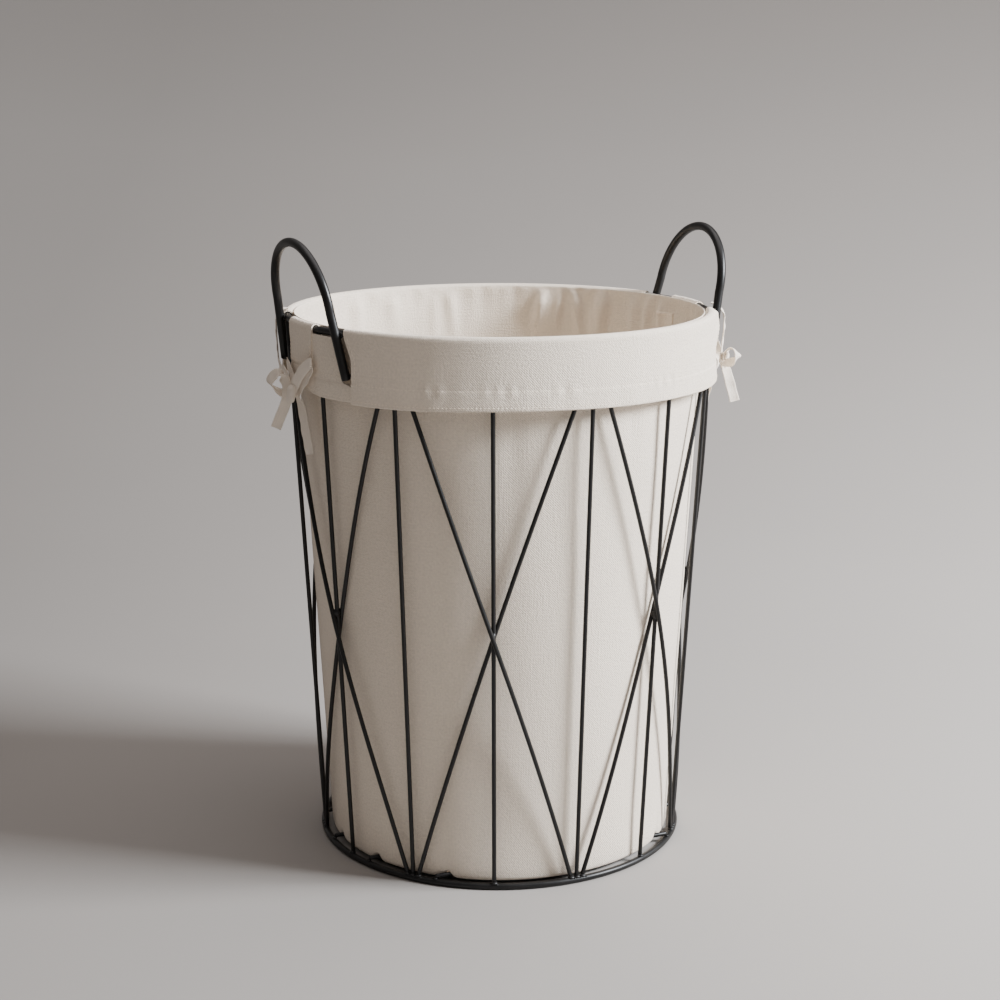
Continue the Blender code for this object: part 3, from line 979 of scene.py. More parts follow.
def liner_middle(angle, height, settings):
    """The middle surface of the liner's wall.

    A cone just inside the wires, drawn out to the rim hoop above the lower hoop, minus the
    soft folds, the gathers under the rim and a slow unevenness.
    """
    radius = cone_radius(height) - LINER_CLEARANCE
    top_radius = RIM_RADIUS - FOLD_INSIDE - CLOTH - 0.0003
    pull = smoothstep(LOWER_HEIGHT + 0.004, LINER_TOP, height)
    radius = radius * (1.0 - pull) + top_radius * pull
    below = np.maximum(LINER_TOP - height, 0.0)
    gathers = 0.5 + 0.5 * waves(angle, 7, 34, 76, 14)
    radius = radius - settings.pucker * gathers * np.exp(-below / 0.016) * smoothstep(
        0.0, 0.004, below)
    radius = radius - soft_folds(angle, height, settings.fold) * smoothstep(0.0, 0.018, below)
    slow = waves(angle, 11, 3, 9, 6) * waves(height * 9.0, 12, 1, 3, 3)
    radius = radius - 0.0007 * (1.0 + np.clip(slow, -1.0, 1.0)) * smoothstep(0.0, 0.05, below)
    return radius


class BASKET_OT_liner(bpy.types.Operator):
    """Hang the liner's wall and lay its floor"""

    bl_idname = "basket.liner"
    bl_label = "Liner"

    def execute(self, context):
        settings = context.scene.basket_cloth
        floor_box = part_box("liner_floor")
        foot = floor_box[0].z + CLOTH / 2
        angle = np.arange(LINER_COLUMNS) * FULL_TURN / LINER_COLUMNS
        drop = np.linspace(0.0, 1.0, 96) ** 1.25
        upper = LINER_TOP - (LINER_TOP - foot - LINER_CORNER) * drop
        turn = np.linspace(0.0, math.pi / 2, CORNER_ROWS)[1:]
        heights = np.concatenate([upper, foot + LINER_CORNER * (1.0 - np.sin(turn))])
        inset = np.concatenate([np.zeros(len(upper)), LINER_CORNER * (1.0 - np.cos(turn))])
        radius = liner_middle(angle[None], heights[:, None], settings) - inset[:, None]
        sag = foot_sag(angle, radius[-CORNER_ROWS, 0])[None] * (
            1.0 - smoothstep(foot, foot + 0.045, heights))[:, None]
        middle = on_cylinder(radius, angle[None], heights[:, None] - sag)
        girth = (cone_radius(0.3) - LINER_CLEARANCE) * FULL_TURN
        u = np.linspace(0.0, girth, LINER_COLUMNS + 1)
        wall = sheet_solid("liner_wall_cloth", middle, CLOTH, True, u, heights - inset)
        dress(wall, canvas(), "canvas", "liner_wall")

        floor_radius = float(radius[-1].min()) - 0.0004
        rings = np.linspace(FLOOR_MIDDLE, floor_radius, FLOOR_RINGS)
        turn = np.arange(FLOOR_SPOKES) * FULL_TURN / FLOOR_SPOKES
        rise = 0.0004 * waves(turn[None] + 9.0 * rings[:, None], 21, 2, 7, 6) * smoothstep(
            0.0, 0.1, rings)[:, None]
        rise = rise - foot_sag(turn, floor_radius)[None] * smoothstep(
            floor_radius - FLOOR_DROOP, floor_radius, rings)[:, None]
        middle = on_cylinder(rings[:, None], turn[None],
                             floor_box[1].z - CLOTH + rise)
        self.floor(middle, rings[-1])
        return {"FINISHED"}

    @staticmethod
    def floor(middle, radius):
        """A round cloth floor: rings of points about a small middle disc, a top layer and an
        under layer half the cloth's thickness either side of the middle surface."""
        up = np.array([0.0, 0.0, CLOTH / 2])
        top, under = middle + up, middle - up
        layers = np.concatenate([top, under[::-1]])
        points = np.concatenate([layers.reshape(-1, 3),
                                 [top[0].mean(axis=0), under[0].mean(axis=0)]])
        loops, counts = ring_faces(len(layers), layers.shape[1], len(points) - 2,
                                   len(points) - 1, flip=True)
        piece = put_mesh("liner_floor_cloth", points, loops, counts, points[loops][:, :2])
        dress(piece, canvas(), "canvas", "liner_floor")
        width = 2.0 * radius
        math.pi * radius ** 2


# ---------------------------------------------------------------- the cuff


def fold_profile(lower_radius, lower_height, inner_height, hang_rows, over_rows=15):
    """The middle line of cloth folded over the rim hoop, as radius, height and run in metres.

    It rises inside the hoop, goes over it on half an oval that is wider inside than outside,
    and hangs outside it, flaring slightly to the lower radius.
    """
    turn = np.linspace(math.pi, 0.0, over_rows)
    bend = FOLD_OUTSIDE + (FOLD_INSIDE - FOLD_OUTSIDE) * (1.0 - np.cos(turn)) / 2
    over_r = RIM_RADIUS + bend * np.cos(turn)
    over_z = RIM_HEIGHT + FOLD_OUTSIDE * 1.06 * np.sin(turn)
    rise = np.linspace(inner_height, RIM_HEIGHT, 4)[:-1]
    drop = np.linspace(0.0, 1.0, hang_rows + 1)[1:]
    hang_z = RIM_HEIGHT + (lower_height - RIM_HEIGHT) * drop
    hang_r = over_r[-1] + (lower_radius - over_r[-1]) * drop ** 1.2
    radius = np.concatenate([np.full(3, over_r[0]), over_r, hang_r])
    height = np.concatenate([rise, over_z, hang_z])
    steps = np.hypot(np.diff(radius), np.diff(height))
    return radius, height, np.concatenate([[0.0], np.cumsum(steps)])


def hem_thickness(height, edge, depth, rows_shape):
    """Cloth thickness down a hemmed sheet: double below the stitch line, pinched at the line
    and slightly full just above the edge."""
    double = 1.0 - smoothstep(edge + depth - 0.0004, edge + depth + 0.0010, height)
    pinch = np.exp(-((height - edge - depth) / 0.0012) ** 2)
    pinch = pinch + 0.8 * np.exp(-((height - edge - EDGE_STITCH) / 0.0009) ** 2)
    return np.broadcast_to(CLOTH * (1.0 + 0.8 * double - 0.28 * pinch), rows_shape)


def slit_turn(height):
    """How far from a handle's middle the cuff's slit edge is: a hand's width out, and a little
    nearer where the cloth goes over the rim."""
    return SLIT_TURN - math.radians(2.9) * smoothstep(0.474, 0.504, height)


def wrapped_turn(height):
    """The slit edge that lies on the right handle's front leg: along the leg's middle, and
    clear of the leg where the cloth goes over the rim."""
    on_leg = leg_turn(np.maximum(height, FOOT_HEIGHT), 1) - math.radians(0.4)
    return on_leg + math.radians(2.2) * smoothstep(0.486, 0.497, height)


def cuff_grid(back, columns):
    """The front or the back of the cuff: its profile swept between the slits."""
    radius, height, run = fold_profile(CUFF_RADIUS, CUFF_EDGE, RIM_HEIGHT - 0.0046, HANG_ROWS)
    if back:
        first = HANDLE_ANGLE + slit_turn(height)
        last = FULL_TURN - HANDLE_ANGLE - slit_turn(height)
    else:
        first = slit_turn(height) - HANDLE_ANGLE
        last = HANDLE_ANGLE - wrapped_turn(height)
    travel = np.linspace(0.0, 1.0, columns)[None]
    angle = first[:, None] + (last - first)[:, None] * travel
    return radius, height, run, angle


def cuff_radius(angle, radius, height, settings, seed):
    """The cuff's radius with its waves: a slow swing that grows towards the free edge, small
    gathers beside the hem's stitches, and the lift where the cloth lies on a handle's leg."""
    fall = np.clip((RIM_HEIGHT - height) / (RIM_HEIGHT - CUFF_EDGE), 0.0, 1.0)
    swing = waves(angle, seed, 4, 13, 9)
    fine = waves(angle, seed + 1, 24, 60, 12)
    hem = np.exp(-((height - CUFF_EDGE - HEM_DEPTH) / 0.005) ** 2)
    on_leg = HANDLE_ANGLE - leg_turn(np.maximum(height, FOOT_HEIGHT), 1)
    lift = LEG_LIFT * np.exp(-((angle - on_leg) / LEG_LIFT_TURN) ** 2) * smoothstep(
        0.458, 0.488, height) * (1.0 - smoothstep(0.4985, 0.5030, height))
    return (radius + settings.ripple * (0.25 + 0.75 * swing) * fall ** 1.4 + lift
            + 0.00016 * fine * fall + 0.00022 * waves(angle, seed + 2, 60, 130, 12) * hem)


def cuff_dip(angle, height, seed):
    """How far the cuff's hem wanders up and down: a slow wave that grows from nothing at the
    rim."""
    fall = (RIM_HEIGHT - np.minimum(height, RIM_HEIGHT)) / 0.06
    return 0.0007 * waves(angle, seed + 5, 3, 8, 5) * fall


class BASKET_OT_cuff(bpy.types.Operator):
    """Fold the front and back of the cuff over the rim"""

    bl_idname = "basket.cuff"
    bl_label = "Cuff"

    def execute(self, context):
        settings = context.scene.basket_cloth
        for side, seed in CUFF_SEED.items():
            node = "cuff_" + side
            radius, height, run, angle = cuff_grid(side == "back", 340)
            tall = height[:, None]
            grid_radius = cuff_radius(angle, radius[:, None], tall, settings, seed)
            middle = on_cylinder(grid_radius, angle, tall + cuff_dip(angle, tall, seed))
            row = np.arange(len(height))
            outer = (height < RIM_HEIGHT) & (row > FOLD_CLEAR_ROWS)
            thickness = np.where(outer[:, None], hem_thickness(
                tall, CUFF_EDGE, HEM_DEPTH, angle.shape), CLOTH)
            thickness = thickness * (0.35 + 0.65 * smoothstep(-1.0, 3.0, row))[:, None]
            arc = angle[len(height) // 2] * CUFF_RADIUS
            piece = sheet_solid(node + "_cloth", middle, thickness, False, arc, -run)
            dress(piece, canvas(), "canvas", node)
            width = float(arc[-1] - arc[0])
        return {"FINISHED"}


# ---------------------------------------------------------------- tabs and straps


def tab_edge_turn(height, sign):
    """How far from a handle's middle the tab's plain side edge is: beside the leg, and out to
    the cuff's edge below the leg's foot, where a small hole is left in the seam."""
    beside = leg_turn(height, sign) - 0.0050 / RIM_RADIUS
    closed = SLIT_TURN - (0.0006 + 0.0013 * np.exp(-((height - SEAM_HOLE) / 0.0013) ** 2)) / (
        RIM_RADIUS)
    return beside + (closed - beside) * (1.0 - smoothstep(0.4535, 0.4590, height))


def tab_radius(offset, height, seed):
    """The tab's radius: close to the wires, drawn in beside the strap by two soft pleats, and
    waved a little towards its free edge."""
    top_radius = RIM_RADIUS + FOLD_OUTSIDE - 0.0010
    fall = np.clip((TAB_TOP - height) / (TAB_TOP - CUFF_EDGE), 0.0, 1.0)
    radius = top_radius + (TAB_RADIUS - top_radius) * fall
    strap = STRAP_HALF / RIM_RADIUS
    pleat = (np.exp(-((np.abs(offset) - strap * 1.02) / 0.016) ** 2)
             - 0.5 * np.exp(-((np.abs(offset) - strap * 1.45) / 0.030) ** 2))
    radius = radius - 0.0007 * pleat * smoothstep(0.0, 0.3, fall) * (1.0 - fall * 0.6)
    return radius + 0.0005 * waves(offset * 3.0, seed, 3, 9, 6) * fall


def tab_lift(offset, height, side):
    """How far the bow draws the tab up: a bell across the bow's place that grows with the
    square of the fall from the tab's top."""
    fall = (TAB_TOP - height) / (TAB_TOP - CUFF_EDGE)
    return 0.0035 * np.exp(-((offset + BOW_OFFSET[side][0]) / 0.09) ** 2) * fall ** 2


class BASKET_OT_tabs(bpy.types.Operator):
    """Hang the tab under each handle and fold its strap over the rim"""

    bl_idname = "basket.tabs"
    bl_label = "Tabs and Straps"

    def execute(self, context):
        for side, sign in SIDES:
            self.tab(side, sign)
            self.strap(side, sign)
        return {"FINISHED"}

    @staticmethod
    def tab(side, sign):
        """The tab under a handle: its own surface from the rim down to the cuff's edge."""
        height = np.linspace(TAB_TOP, CUFF_EDGE, 76)
        reach = tab_edge_turn(height, sign)
        travel = np.linspace(0.0, 1.0, 120)[None]
        offset = (reach + TAB_BOW_TURN)[:, None] * travel - TAB_BOW_TURN
        tall = height[:, None]
        radius = tab_radius(offset, tall, TAB_SEED[sign])
        middle = on_cylinder(radius, sign * HANDLE_ANGLE + offset,
                             tall + tab_lift(offset, tall, side))
        thickness = hem_thickness(tall, CUFF_EDGE, TAB_HEM, offset.shape)
        top_hem = smoothstep(TAB_TOP - 0.0075, TAB_TOP - 0.0065, height)[:, None]
        thickness = thickness + CLOTH * 0.7 * top_hem
        arc = offset[len(height) // 2] * TAB_RADIUS
        piece = sheet_solid("cuff_tab_%s_cloth" % side, middle, thickness, False, arc, height)
        dress(piece, canvas(), "canvas", "cuff_tab_" + side)
        float(arc[-1] - arc[0])

    @staticmethod
    def strap(side, sign):
        """The strap between a handle's legs: folded over the rim, then lying on the tab."""
        radius, height, run = fold_profile(TAB_RADIUS + 0.0017, STRAP_FOOT,
                                           RIM_HEIGHT - 0.0060, 26)
        half = STRAP_HALF / RIM_RADIUS
        offset = np.linspace(-half, half, 60)[None]
        fall = np.clip((RIM_HEIGHT - height) / (RIM_HEIGHT - STRAP_FOOT), 0.0, 1.0)[:, None]
        outer = (np.arange(len(height)) > FOLD_CLEAR_ROWS)[:, None]
        tab = tab_radius(offset, height[:, None], TAB_SEED[sign]) + STRAP_LIFT
        hang = smoothstep(0.10, 0.45, fall) * outer
        grid_radius = radius[:, None] * (1.0 - hang) + tab * hang
        pinch = 1.0 - 0.07 * smoothstep(0.0, 0.6, fall) * outer
        soft = 0.00025 * waves(offset * 5.0, 90 + sign, 4, 14, 6)
        middle = on_cylinder(grid_radius + soft, sign * HANDLE_ANGLE + offset * pinch,
                             height[:, None])
        edge = np.exp(-((np.abs(offset) - half) / 0.006) ** 2)
        thickness = CLOTH * (1.0 + 0.5 * edge) * np.ones_like(grid_radius)
        arc = offset[0] * RIM_RADIUS
        piece = sheet_solid("tab_strap_%s_cloth" % side, middle, thickness, False, arc, -run)
        dress(piece, canvas(), "canvas", "tab_strap_" + side)


# ---------------------------------------------------------------- stitches and patch


def even_stops(path, pitch):
    """Points and directions every pitch along a path. A direction is the step between the
    points half a millimetre behind and ahead."""
    run = run_along(path)
    stops = np.arange(pitch / 2, run[-1], pitch)

    def at(places):
        return np.stack([np.interp(places, run, path[:, axis]) for axis in range(3)], axis=1)

    return at(stops), unit(at(stops + 0.0005) - at(stops - 0.0005))


def stitch_row(name, path, lift, pitch=STITCH_PITCH, inward=False):
    """A row of stitches: small lengthwise beads of thread along a path, half sunk in the cloth.

    Each is an ellipsoid 0.72 of the pitch long, laid along the path and lifted by lift.
    """
    points, along = even_stops(path, pitch)
    out = unit(points * np.array([1.0, 1.0, 0.0]))
    out = unit(out - np.sum(out * along, axis=1, keepdims=True) * along)
    if inward:
        out = -out
    ways = np.stack([along, out, np.cross(along, out)], axis=1)
    size = np.tile((pitch * 0.36, *THREAD_HALF), (len(points), 1))
    piece = blobs(name, points + out * lift, ways, size, 3, 6)
    return dress(piece, thread(), "canvas")


class BASKET_OT_stitches(bpy.types.Operator):
    """Sew the hems, the slit edges and the straps"""

    bl_idname = "basket.stitches"
    bl_label = "Stitches"

    def execute(self, context):
        settings = context.scene.basket_cloth
        for side in CUFF_SEED:
            for label, rise, lift in (("edge", 0.0026, 0.98), ("hem", HEM_DEPTH, 0.52)):
                self.cuff_row(settings, side, label, CUFF_EDGE + rise, lift)
            self.slit_rows(settings, side)
        for side, sign in SIDES:
            self.tab_rows(side, sign)
        return {"FINISHED"}

    @staticmethod
    def cuff_row(settings, side, label, height, lift):
        """A row of stitches round the cuff at one height."""
        seed = CUFF_SEED[side]
        radius, heights, _, angle = cuff_grid(side == "back", 600)
        below = HANG_ROWS - 4
        hanging = heights[::-1][:below]
        line = angle[len(heights) - 1 - np.searchsorted(hanging, height)]
        base = np.interp(height, hanging, radius[::-1][:below])
        reach = cuff_radius(line, base, np.full(len(line), height), settings, seed)
        path = on_cylinder(reach, line, height + cuff_dip(line, height, seed))[6:-6]
        stitch_row("stitches_cuff_%s_%s" % (side, label), path, CLOTH * lift)

    @staticmethod
    def slit_rows(settings, side):
        """A row of stitches down each of the cuff's two slit edges."""
        radius, heights, _, angle = cuff_grid(side == "back", 170)
        keep = slice(len(heights) - HANG_ROWS + 1, len(heights) - 1)
        inset = SLIT_STITCH / CUFF_RADIUS
        for index, (column, way) in enumerate(((0, 1), (-1, -1))):
            line = angle[keep, column] + way * inset
            reach = cuff_radius(line, radius[keep], heights[keep], settings, CUFF_SEED[side])
            path = on_cylinder(reach, line, heights[keep])
            stitch_row("stitches_slit_%s_%d" % (side, index + 1), path, CLOTH * 0.5)

    @staticmethod
    def tab_rows(side, sign):
        """The tab's hem, edge and top rows, and the strap's row round three sides."""
        seed = TAB_SEED[sign]
        for label, height, thick in (("hem", CUFF_EDGE + TAB_HEM, 0.55),
                                     ("edge", CUFF_EDGE + EDGE_STITCH, 0.75),
                                     ("top", TAB_TOP - 0.0060, 0.60)):
            reach = float(tab_edge_turn(np.array(height), sign))
            offset = np.linspace(-TAB_BOW_TURN + 0.012, reach - 0.012, 160)
            level = np.full(160, height)
            path = on_cylinder(tab_radius(offset, level, seed), sign * HANDLE_ANGLE + offset,
                               level + tab_lift(offset, height, side))
            stitch_row("stitches_tab_%s_%s" % (side, label), path, CLOTH * thick)
        half = STRAP_HALF / RIM_RADIUS * 0.93
        inset = 0.0022 / RIM_RADIUS
        rise = np.linspace(STRAP_FOOT + 0.0022, TAB_TOP - 0.010, 40)
        across = np.linspace(-half + inset, half - inset, 60)
        outline = np.concatenate([
            np.stack([np.full(40, half - inset), rise[::-1]], axis=1),
            np.stack([across[::-1], np.full(60, rise[0])], axis=1)[1:-1],
            np.stack([np.full(40, -half + inset), rise], axis=1)])
        offset, level = outline[:, 0], outline[:, 1]
        path = on_cylinder(tab_radius(offset, level, seed) + STRAP_LIFT,
                           sign * HANDLE_ANGLE + offset, level)
        stitch_row("stitches_strap_" + side, path, CLOTH * 0.62)


class BASKET_OT_patch(bpy.types.Operator):
    """Sew the blank patch inside the liner"""

    bl_idname = "basket.patch"
    bl_label = "Patch"

    def execute(self, context):
        settings = context.scene.basket_cloth
        low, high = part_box("liner_patch")
        place = box_middle("liner_patch")
        centre = math.atan2(place.x, -place.y)
        reach = math.hypot(place.x, place.y)
        half_turn = (high.y - low.y) / 2 / reach
        height = np.linspace(high.z, low.z, 30)
        angle = np.linspace(centre - half_turn, centre + half_turn, 36)
        radius = liner_middle(angle[None], height[:, None], settings) - PATCH_LIFT
        middle = on_cylinder(radius, angle[None], height[:, None])
        edge = np.maximum(np.abs(np.linspace(-1, 1, 30))[:, None],
                          np.abs(np.linspace(-1, 1, 36))[None])
        thickness = CLOTH * (0.8 + 0.7 * smoothstep(0.80, 0.86, edge))
        material = shared("patch_cotton", canvas_material,
                          tinted(tuple(settings.colour), 1.10), 0.0014, 0.6)
        piece = sheet_solid("liner_patch_cloth", middle, thickness, False, angle * reach,
                            height)
        dress(piece, material, "patch_cloth", "liner_patch")
        seam = 0.86
        corner_turn = centre + half_turn * seam * np.array([-1, 1, 1, -1, -1])
        corner_height = place.z + (high.z - low.z) / 2 * seam * np.array([1, 1, -1, -1, 1])
        stop = np.linspace(0, 4, 161)
        angle = np.interp(stop, np.arange(5), corner_turn)
        height = np.interp(stop, np.arange(5), corner_height)
        path = on_cylinder(liner_middle(angle, height, settings) - PATCH_LIFT, angle, height)
        stitch_row("stitches_patch", path, CLOTH * 0.72, 0.0026, inward=True)
        return {"FINISHED"}


# ---------------------------------------------------------------- the bows

# How far each bow's knot lies from its handle's middle, as an angle, and the knot's radius and
# height.
BOW_OFFSET = {"left": (math.radians(-1.2), 0.2070, 0.4400),
              "right": (math.radians(18.7), 0.2090, 0.4535)}

# The tape's thickness.
TAPE = 0.0008

# Half a knot's size along the rim, outwards and upwards, and how far it stands out from its
# bow's radius.
KNOT_HALF_SIZE = (0.0060, 0.0042, 0.0080)
KNOT_STANDOFF = 0.0030

# Each tape's route as degrees from the front, radius and height, and the way its width lies
# there as (outwards, along the rim, upwards).
ROUTES = {
    "tie_left_outer": [
        ((-108.6, 0.1948, 0.5054), (0.0, 1.0, 0.0)), ((-108.7, 0.2000, 0.5050), (0.0, 1.0, 0.0)),
        ((-108.8, 0.2045, 0.5015), (0.0, 1.0, 0.0)), ((-108.9, 0.2064, 0.4940), (0.0, 1.0, 0.0)),
        ((-108.9, 0.2064, 0.4850), (0.0, 1.0, 0.0)), ((-109.0, 0.2058, 0.4720), (0.0, 1.0, 0.2)),
        ((-108.6, 0.2052, 0.4620), (0.0, 0.9, 0.4)), ((-106.0, 0.2040, 0.4545), (0.0, 0.5, 0.9)),
        ((-101.0, 0.2036, 0.4530), (0.0, 0.0, 1.0)), ((-95.5, 0.2032, 0.4540), (0.1, 0.2, 1.0)),
        ((-91.0, 0.2032, 0.4480), (0.3, 0.8, 0.5)), ((-89.6, 0.2034, 0.4400), (0.2, 1.0, 0.0)),
        ((-89.8, 0.2085, 0.4362), (-0.3, 0.75, -0.6)),
        ((-91.2, 0.2180, 0.4425), (-0.35, 0.75, -0.6)),
        ((-91.5, 0.2220, 0.4490), (-0.4, 0.75, -0.5)),
        ((-90.3, 0.2160, 0.4562), (-0.4, 0.7, -0.6)),
        ((-88.4, 0.2100, 0.4475), (-0.6, 0.6, -0.5)), ((-88.8, 0.2095, 0.4345), (-0.8, 0.4, -0.4)),
        ((-90.0, 0.2112, 0.4245), (-0.8, 0.3, -0.4)), ((-91.0, 0.2137, 0.4160), (-0.8, 0.3, -0.4)),
        ((-92.0, 0.2168, 0.4057), (-0.8, 0.3, -0.4))],
    "tie_left_inner": [
        ((-94.5, 0.2025, 0.4660), (0.0, 0.9, 0.3)), ((-92.9, 0.2022, 0.4605), (0.0, 0.9, 0.3)),
        ((-90.3, 0.2026, 0.4547), (0.0, 0.8, 0.4)), ((-88.0, 0.2032, 0.4480), (0.0, 1.0, 0.2)),
        ((-87.4, 0.2036, 0.4400), (0.2, 1.0, 0.0)), ((-86.6, 0.2070, 0.4395), (0.0, 1.0, -0.3)),
        ((-85.0, 0.2075, 0.4475), (-0.4, 0.8, -0.4)), ((-82.4, 0.2068, 0.4580), (-0.4, 0.8, -0.5)),
        ((-79.6, 0.2064, 0.4660), (-0.3, 0.7, -0.6)), ((-77.4, 0.2048, 0.4712), (0.2, 0.7, -0.7)),
        ((-78.2, 0.2026, 0.4660), (0.2, 0.7, -0.6)), ((-80.4, 0.2024, 0.4570), (0.1, 0.8, -0.5)),
        ((-83.0, 0.2024, 0.4490), (0.1, 0.8, -0.5)), ((-85.6, 0.2022, 0.4420), (0.0, 0.8, -0.5)),
        ((-87.0, 0.2004, 0.4335), (0.0, 1.0, 0.1)), ((-86.4, 0.1996, 0.4285), (-0.3, 0.9, 0.1)),
        ((-85.4, 0.1990, 0.4200), (-0.4, 0.9, 0.1)), ((-84.5, 0.1988, 0.4090), (-0.4, 0.9, 0.1)),
        ((-83.2, 0.1986, 0.3970), (-0.4, 0.9, 0.1)), ((-82.2, 0.1984, 0.3860), (-0.3, 0.9, 0.1))],
    "tie_right_outer": [
        ((71.2, 0.1995, 0.5060), (0.0, 1.0, 0.0)), ((70.5, 0.2055, 0.5040), (0.0, 1.0, 0.2)),
        ((69.6, 0.2105, 0.4960), (0.1, 1.0, 0.2)), ((67.6, 0.2102, 0.4860), (0.2, 1.0, 0.2)),
        ((66.8, 0.2085, 0.4720), (0.2, 1.0, 0.0)), ((67.0, 0.2075, 0.4590), (0.4, 1.0, 0.0)),
        ((66.4, 0.2095, 0.4530), (0.2, 0.8, 0.6)), ((65.0, 0.2170, 0.4530), (-0.2, 0.8, 0.6)),
        ((64.2, 0.2225, 0.4590), (0.6, 0.8, 0.0)), ((65.2, 0.2185, 0.4650), (0.4, 0.8, -0.4)),
        ((67.3, 0.2125, 0.4620), (0.6, 0.8, 0.2)), ((67.4, 0.2120, 0.4500), (0.6, 0.7, 0.3)),
        ((65.8, 0.2150, 0.4370), (0.8, 0.3, 0.3)), ((64.6, 0.2205, 0.4165), (0.8, 0.3, 0.4))],
    "tie_right_inner": [
        ((71.6, 0.2020, 0.4720), (0.0, 1.0, 0.0)), ((70.4, 0.2025, 0.4620), (0.0, 1.0, 0.2)),
        ((69.0, 0.2022, 0.4545), (0.2, 0.5, 0.9)), ((71.5, 0.2022, 0.4550), (0.4, 0.0, 1.0)),
        ((75.5, 0.2024, 0.4640), (0.6, -0.3, 0.8)), ((79.0, 0.2032, 0.4760), (0.8, -0.4, 0.5)),
        ((79.8, 0.2060, 0.4790), (0.7, -0.5, 0.5)), ((77.5, 0.2072, 0.4720), (0.6, -0.5, 0.6)),
        ((73.5, 0.2078, 0.4620), (0.7, -0.2, 0.7)), ((70.9, 0.2075, 0.4510), (0.5, 0.8, 0.2)),
        ((71.4, 0.2050, 0.4390), (0.2, 1.0, 0.2)), ((73.6, 0.2010, 0.4210), (0.0, 1.0, 0.3)),
        ((75.2, 0.1990, 0.4000), (0.0, 1.0, 0.2))],
}


def smooth_through(points, per_span):
    """A smooth curve through points: each span is the cubic whose slope at a point is half the
    step between that point's two neighbours."""
    ends = [2 * points[0] - points[1]], [2 * points[-1] - points[-2]]
    knots = np.concatenate([ends[0], points, ends[1]])
    travel = np.linspace(0.0, 1.0, per_span, endpoint=False)[:, None]
    before, start, end, after = knots[:-3], knots[1:-2], knots[2:-1], knots[3:]
    before, start, end, after = (x[:, None] for x in (before, start, end, after))
    curve = 0.5 * (2 * start + (end - before) * travel
                   + (2 * before - 5 * start + 4 * end - after) * travel ** 2
                   + (3 * start - before - 3 * end + after) * travel ** 3)
    return np.concatenate([curve.reshape(-1, points.shape[1]), knots[-2:-1]])


class BASKET_OT_bows(bpy.types.Operator):
    """Tie the two ribbon bows"""

    bl_idname = "basket.bows"
    bl_label = "Bows"

    def execute(self, context):
        settings = context.scene.basket_ribbon
        material = shared("cotton_tape", tape_material, tuple(settings.colour))
        for side in ("left", "right"):
            knot = self.knot(side, material)
            for strand in ("outer", "inner"):
                name = "tie_%s_%s" % (side, strand)
                self.tape(name, settings.width, material, [knot] if strand == "outer" else [])
        return {"FINISHED"}

    @staticmethod
    def tape(name, width, material, with_pieces):
        """A flat tape carried along its route.

        Across the tape the middle surface is a straight line of its width, cupped by a small
        parabola, in the direction that the route gives, made square to the path.
        """
        stations = np.array([place for place, _ in ROUTES[name]])
        angle = np.radians(stations[:, 0])
        points = on_cylinder(stations[:, 1], angle, stations[:, 2])
        lay = np.array([way for _, way in ROUTES[name]])
        lay = (radial(angle) * lay[:, :1] + tangent(angle) * lay[:, 1:2]
               + np.array([0.0, 0.0, 1.0]) * lay[:, 2:])
        both = smooth_through(np.concatenate([points, lay * 0.1], axis=1), 16)
        path, lay = both[:, :3], both[:, 3:]
        direction = unit(np.gradient(path, axis=0))
        lay = unit(lay - np.sum(lay * direction, axis=1, keepdims=True) * direction)
        normal = np.cross(direction, lay)
        run = run_along(path)
        across = np.linspace(-0.5, 0.5, 13)
        taper = 1.0 - 0.35 * smoothstep(0.010, 0.0, run)
        spread = across[:, None, None] * width * (lay * taper[:, None])[None]
        cup = (across ** 2 - 1.0 / 12.0)[:, None, None] * 0.0022 * normal[None]
        ripple = 0.0003 * np.sin(run * 420.0 + 2.0)[None, :, None] * (
            2.0 * across[:, None, None]) * normal[None]
        middle = path[None] + spread + cup + ripple
        piece = sheet_solid(name + "_tape", middle, TAPE, False, run, across * width)
        dress(piece, material, "ribbon", name)

    @staticmethod
    def knot(side, material):
        """A bow's knot: an upright barrel of tape drawn tight.

        Its radius swells in the middle and tucks in at both ends, and three soft creases run
        round it on a slant.
        """
        sign = -1 if side == "left" else 1
        turn_from, radius, height = BOW_OFFSET[side]
        centre_angle = sign * HANDLE_ANGLE - turn_from
        centre = on_cylinder(radius + KNOT_STANDOFF, centre_angle, height)
        rows = np.linspace(-1.0, 1.0, 22)
        turn = np.arange(40) * FULL_TURN / 40
        swell = np.sqrt(np.maximum(1.0 - (rows * 0.985) ** 4, 0.0)) * (0.86 + 0.14 * rows ** 2)
        slant = 1.5 * rows[:, None] * math.pi + turn[None] + 0.6
        crease = 1.0 - 0.10 * np.exp(-(np.sin(slant) / 0.35) ** 2)
        wide, deep, tall = KNOT_HALF_SIZE
        body = swell[:, None] * crease
        grid = (centre + tangent(np.array(centre_angle)) * (body * np.cos(turn) * wide)[..., None]
                + radial(np.array(centre_angle)) * (body * np.sin(turn) * deep)[..., None]
                + np.array([0.12, 0.0, 1.0]) * (rows * tall)[:, None, None])
        count = len(turn)
        points = np.concatenate([grid.reshape(-1, 3), [grid[0].mean(0), grid[-1].mean(0)]])
        loops, counts = ring_faces(len(rows), count, len(points) - 2, len(points) - 1)
        around = np.concatenate([np.tile(turn * wide, len(rows)), [0.0, 0.0]])
        along = np.concatenate([np.repeat(rows * tall, count), [-tall, tall]])
        uv = np.stack([around, along], axis=1)[loops]
        piece = put_mesh("knot_" + side, points, loops, counts, uv)
        return dress(piece, material, "ribbon")


# ---------------------------------------------------------------- the studio


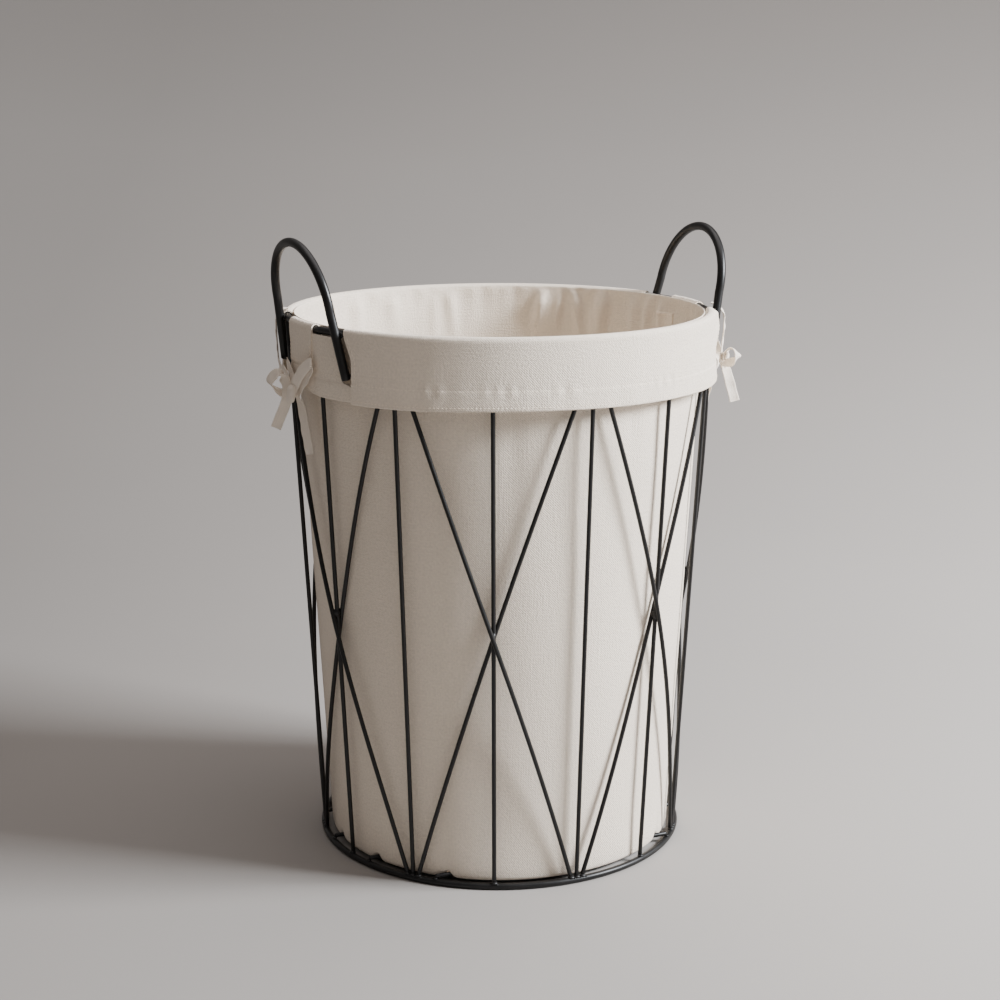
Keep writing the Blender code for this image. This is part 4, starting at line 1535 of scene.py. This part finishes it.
def aim(thing, place, target):
    """Stand a camera or light at a place, looking at a target."""
    thing.location = place
    thing.rotation_euler = (Vector(target) - Vector(place)).to_track_quat("-Z", "Y").to_euler()


class BASKET_OT_studio(bpy.types.Operator):
    """Set up the camera, the floor and the lights"""

    bl_idname = "basket.studio"
    bl_label = "Studio"

    def execute(self, context):
        settings = context.scene.basket_studio
        camera = bpy.data.objects.new("camera", bpy.data.cameras.new("camera"))
        camera.data.lens = CAMERA_LENS
        camera.data.sensor_width = SENSOR_WIDTH
        aim(camera, CAMERA_PLACE, CAMERA_AIM)
        context.scene.collection.objects.link(camera)
        context.scene.camera = camera
        self.floor(settings)
        view = math.atan2(CAMERA_PLACE[0], -CAMERA_PLACE[1])
        powers = {"key_light": settings.key, "fill_light": settings.fill}
        for name, (turn, lift, distance, size, colour) in LIGHTS.items():
            self.light(name, view + math.radians(turn), lift, distance, size, powers[name],
                       colour)
        world = context.scene.world or bpy.data.worlds.new("room")
        context.scene.world = world
        world.use_nodes = True
        background = world.node_tree.nodes["Background"]
        background.inputs["Color"].default_value = ROOM_COLOUR
        background.inputs["Strength"].default_value = settings.sky
        return {"FINISHED"}

    @staticmethod
    def floor(settings):
        """A floor that curves up all round into a backdrop: flat to FLOOR_FLAT from the axis,
        then rising with the square of the distance past it."""
        reach = np.linspace(0.0, FLOOR_REACH, 60)[1:]
        rise = FLOOR_RISE * np.maximum(reach - FLOOR_FLAT, 0.0) ** 2
        turn = np.arange(96) * FULL_TURN / 96
        grid = on_cylinder(reach[:, None], turn[None], rise[:, None])
        points = np.concatenate([grid.reshape(-1, 3), [[0.0, 0.0, 0.0]]])
        loops, counts = ring_faces(len(reach), len(turn), first=len(points) - 1, flip=True)
        piece = put_mesh("studio_floor", points, loops, counts)
        piece.data.materials.append(floor_material("matt_floor_painted_light", tuple(settings.floor)))

    @staticmethod
    def light(name, angle, lift, distance, size, power, colour):
        """A square soft light at an angle round the basket, aimed at its middle."""
        lamp = bpy.data.lights.new(name, "AREA")
        lamp.shape = "SQUARE"
        lamp.size = size
        lamp.energy = power
        lamp.color = colour
        thing = bpy.data.objects.new(name, lamp)
        place = on_cylinder(distance * math.cos(lift), angle, distance * math.sin(lift))
        aim(thing, tuple(float(x) for x in place), LIGHT_AIM)
        bpy.context.scene.collection.objects.link(thing)


# ---------------------------------------------------------------- panel and run


STEPS = (
    BASKET_OT_studio, BASKET_OT_bows, BASKET_OT_rings, BASKET_OT_wires, BASKET_OT_handles,
    BASKET_OT_welds, BASKET_OT_liner, BASKET_OT_cuff, BASKET_OT_tabs, BASKET_OT_stitches,
    BASKET_OT_patch)


class BASKET_PT_panel(bpy.types.Panel):
    """The basket's pieces, one button each"""

    bl_label = "Laundry Basket"
    bl_idname = "BASKET_PT_panel"
    bl_space_type = "VIEW_3D"
    bl_region_type = "UI"
    bl_category = "Basket"

    def draw(self, context):
        for step in STEPS:
            self.layout.operator(step.bl_idname)
        for group in ("basket_steel", "basket_cloth", "basket_ribbon", "basket_studio"):
            box = self.layout.box()
            settings = getattr(context.scene, group)
            for key in settings.bl_rna.properties.keys():
                if key not in {"rna_type", "name"}:
                    box.prop(settings, key)


GROUPS = {"basket_steel": SteelSettings, "basket_cloth": ClothSettings,
          "basket_ribbon": RibbonSettings, "basket_studio": StudioSettings}


def register():
    for name, group in GROUPS.items():
        bpy.utils.register_class(group)
        setattr(bpy.types.Scene, name, PointerProperty(type=group))
    for cls in (*STEPS, BASKET_PT_panel):
        bpy.utils.register_class(cls)


def unregister():
    for cls in reversed((*STEPS, BASKET_PT_panel)):
        bpy.utils.unregister_class(cls)
    for name, group in GROUPS.items():
        delattr(bpy.types.Scene, name)
        bpy.utils.unregister_class(group)


def main():
    register()
    for step in STEPS:
        group, action = step.bl_idname.split(".")
        getattr(getattr(bpy.ops, group), action)()


if __name__ == "__main__":
    main()
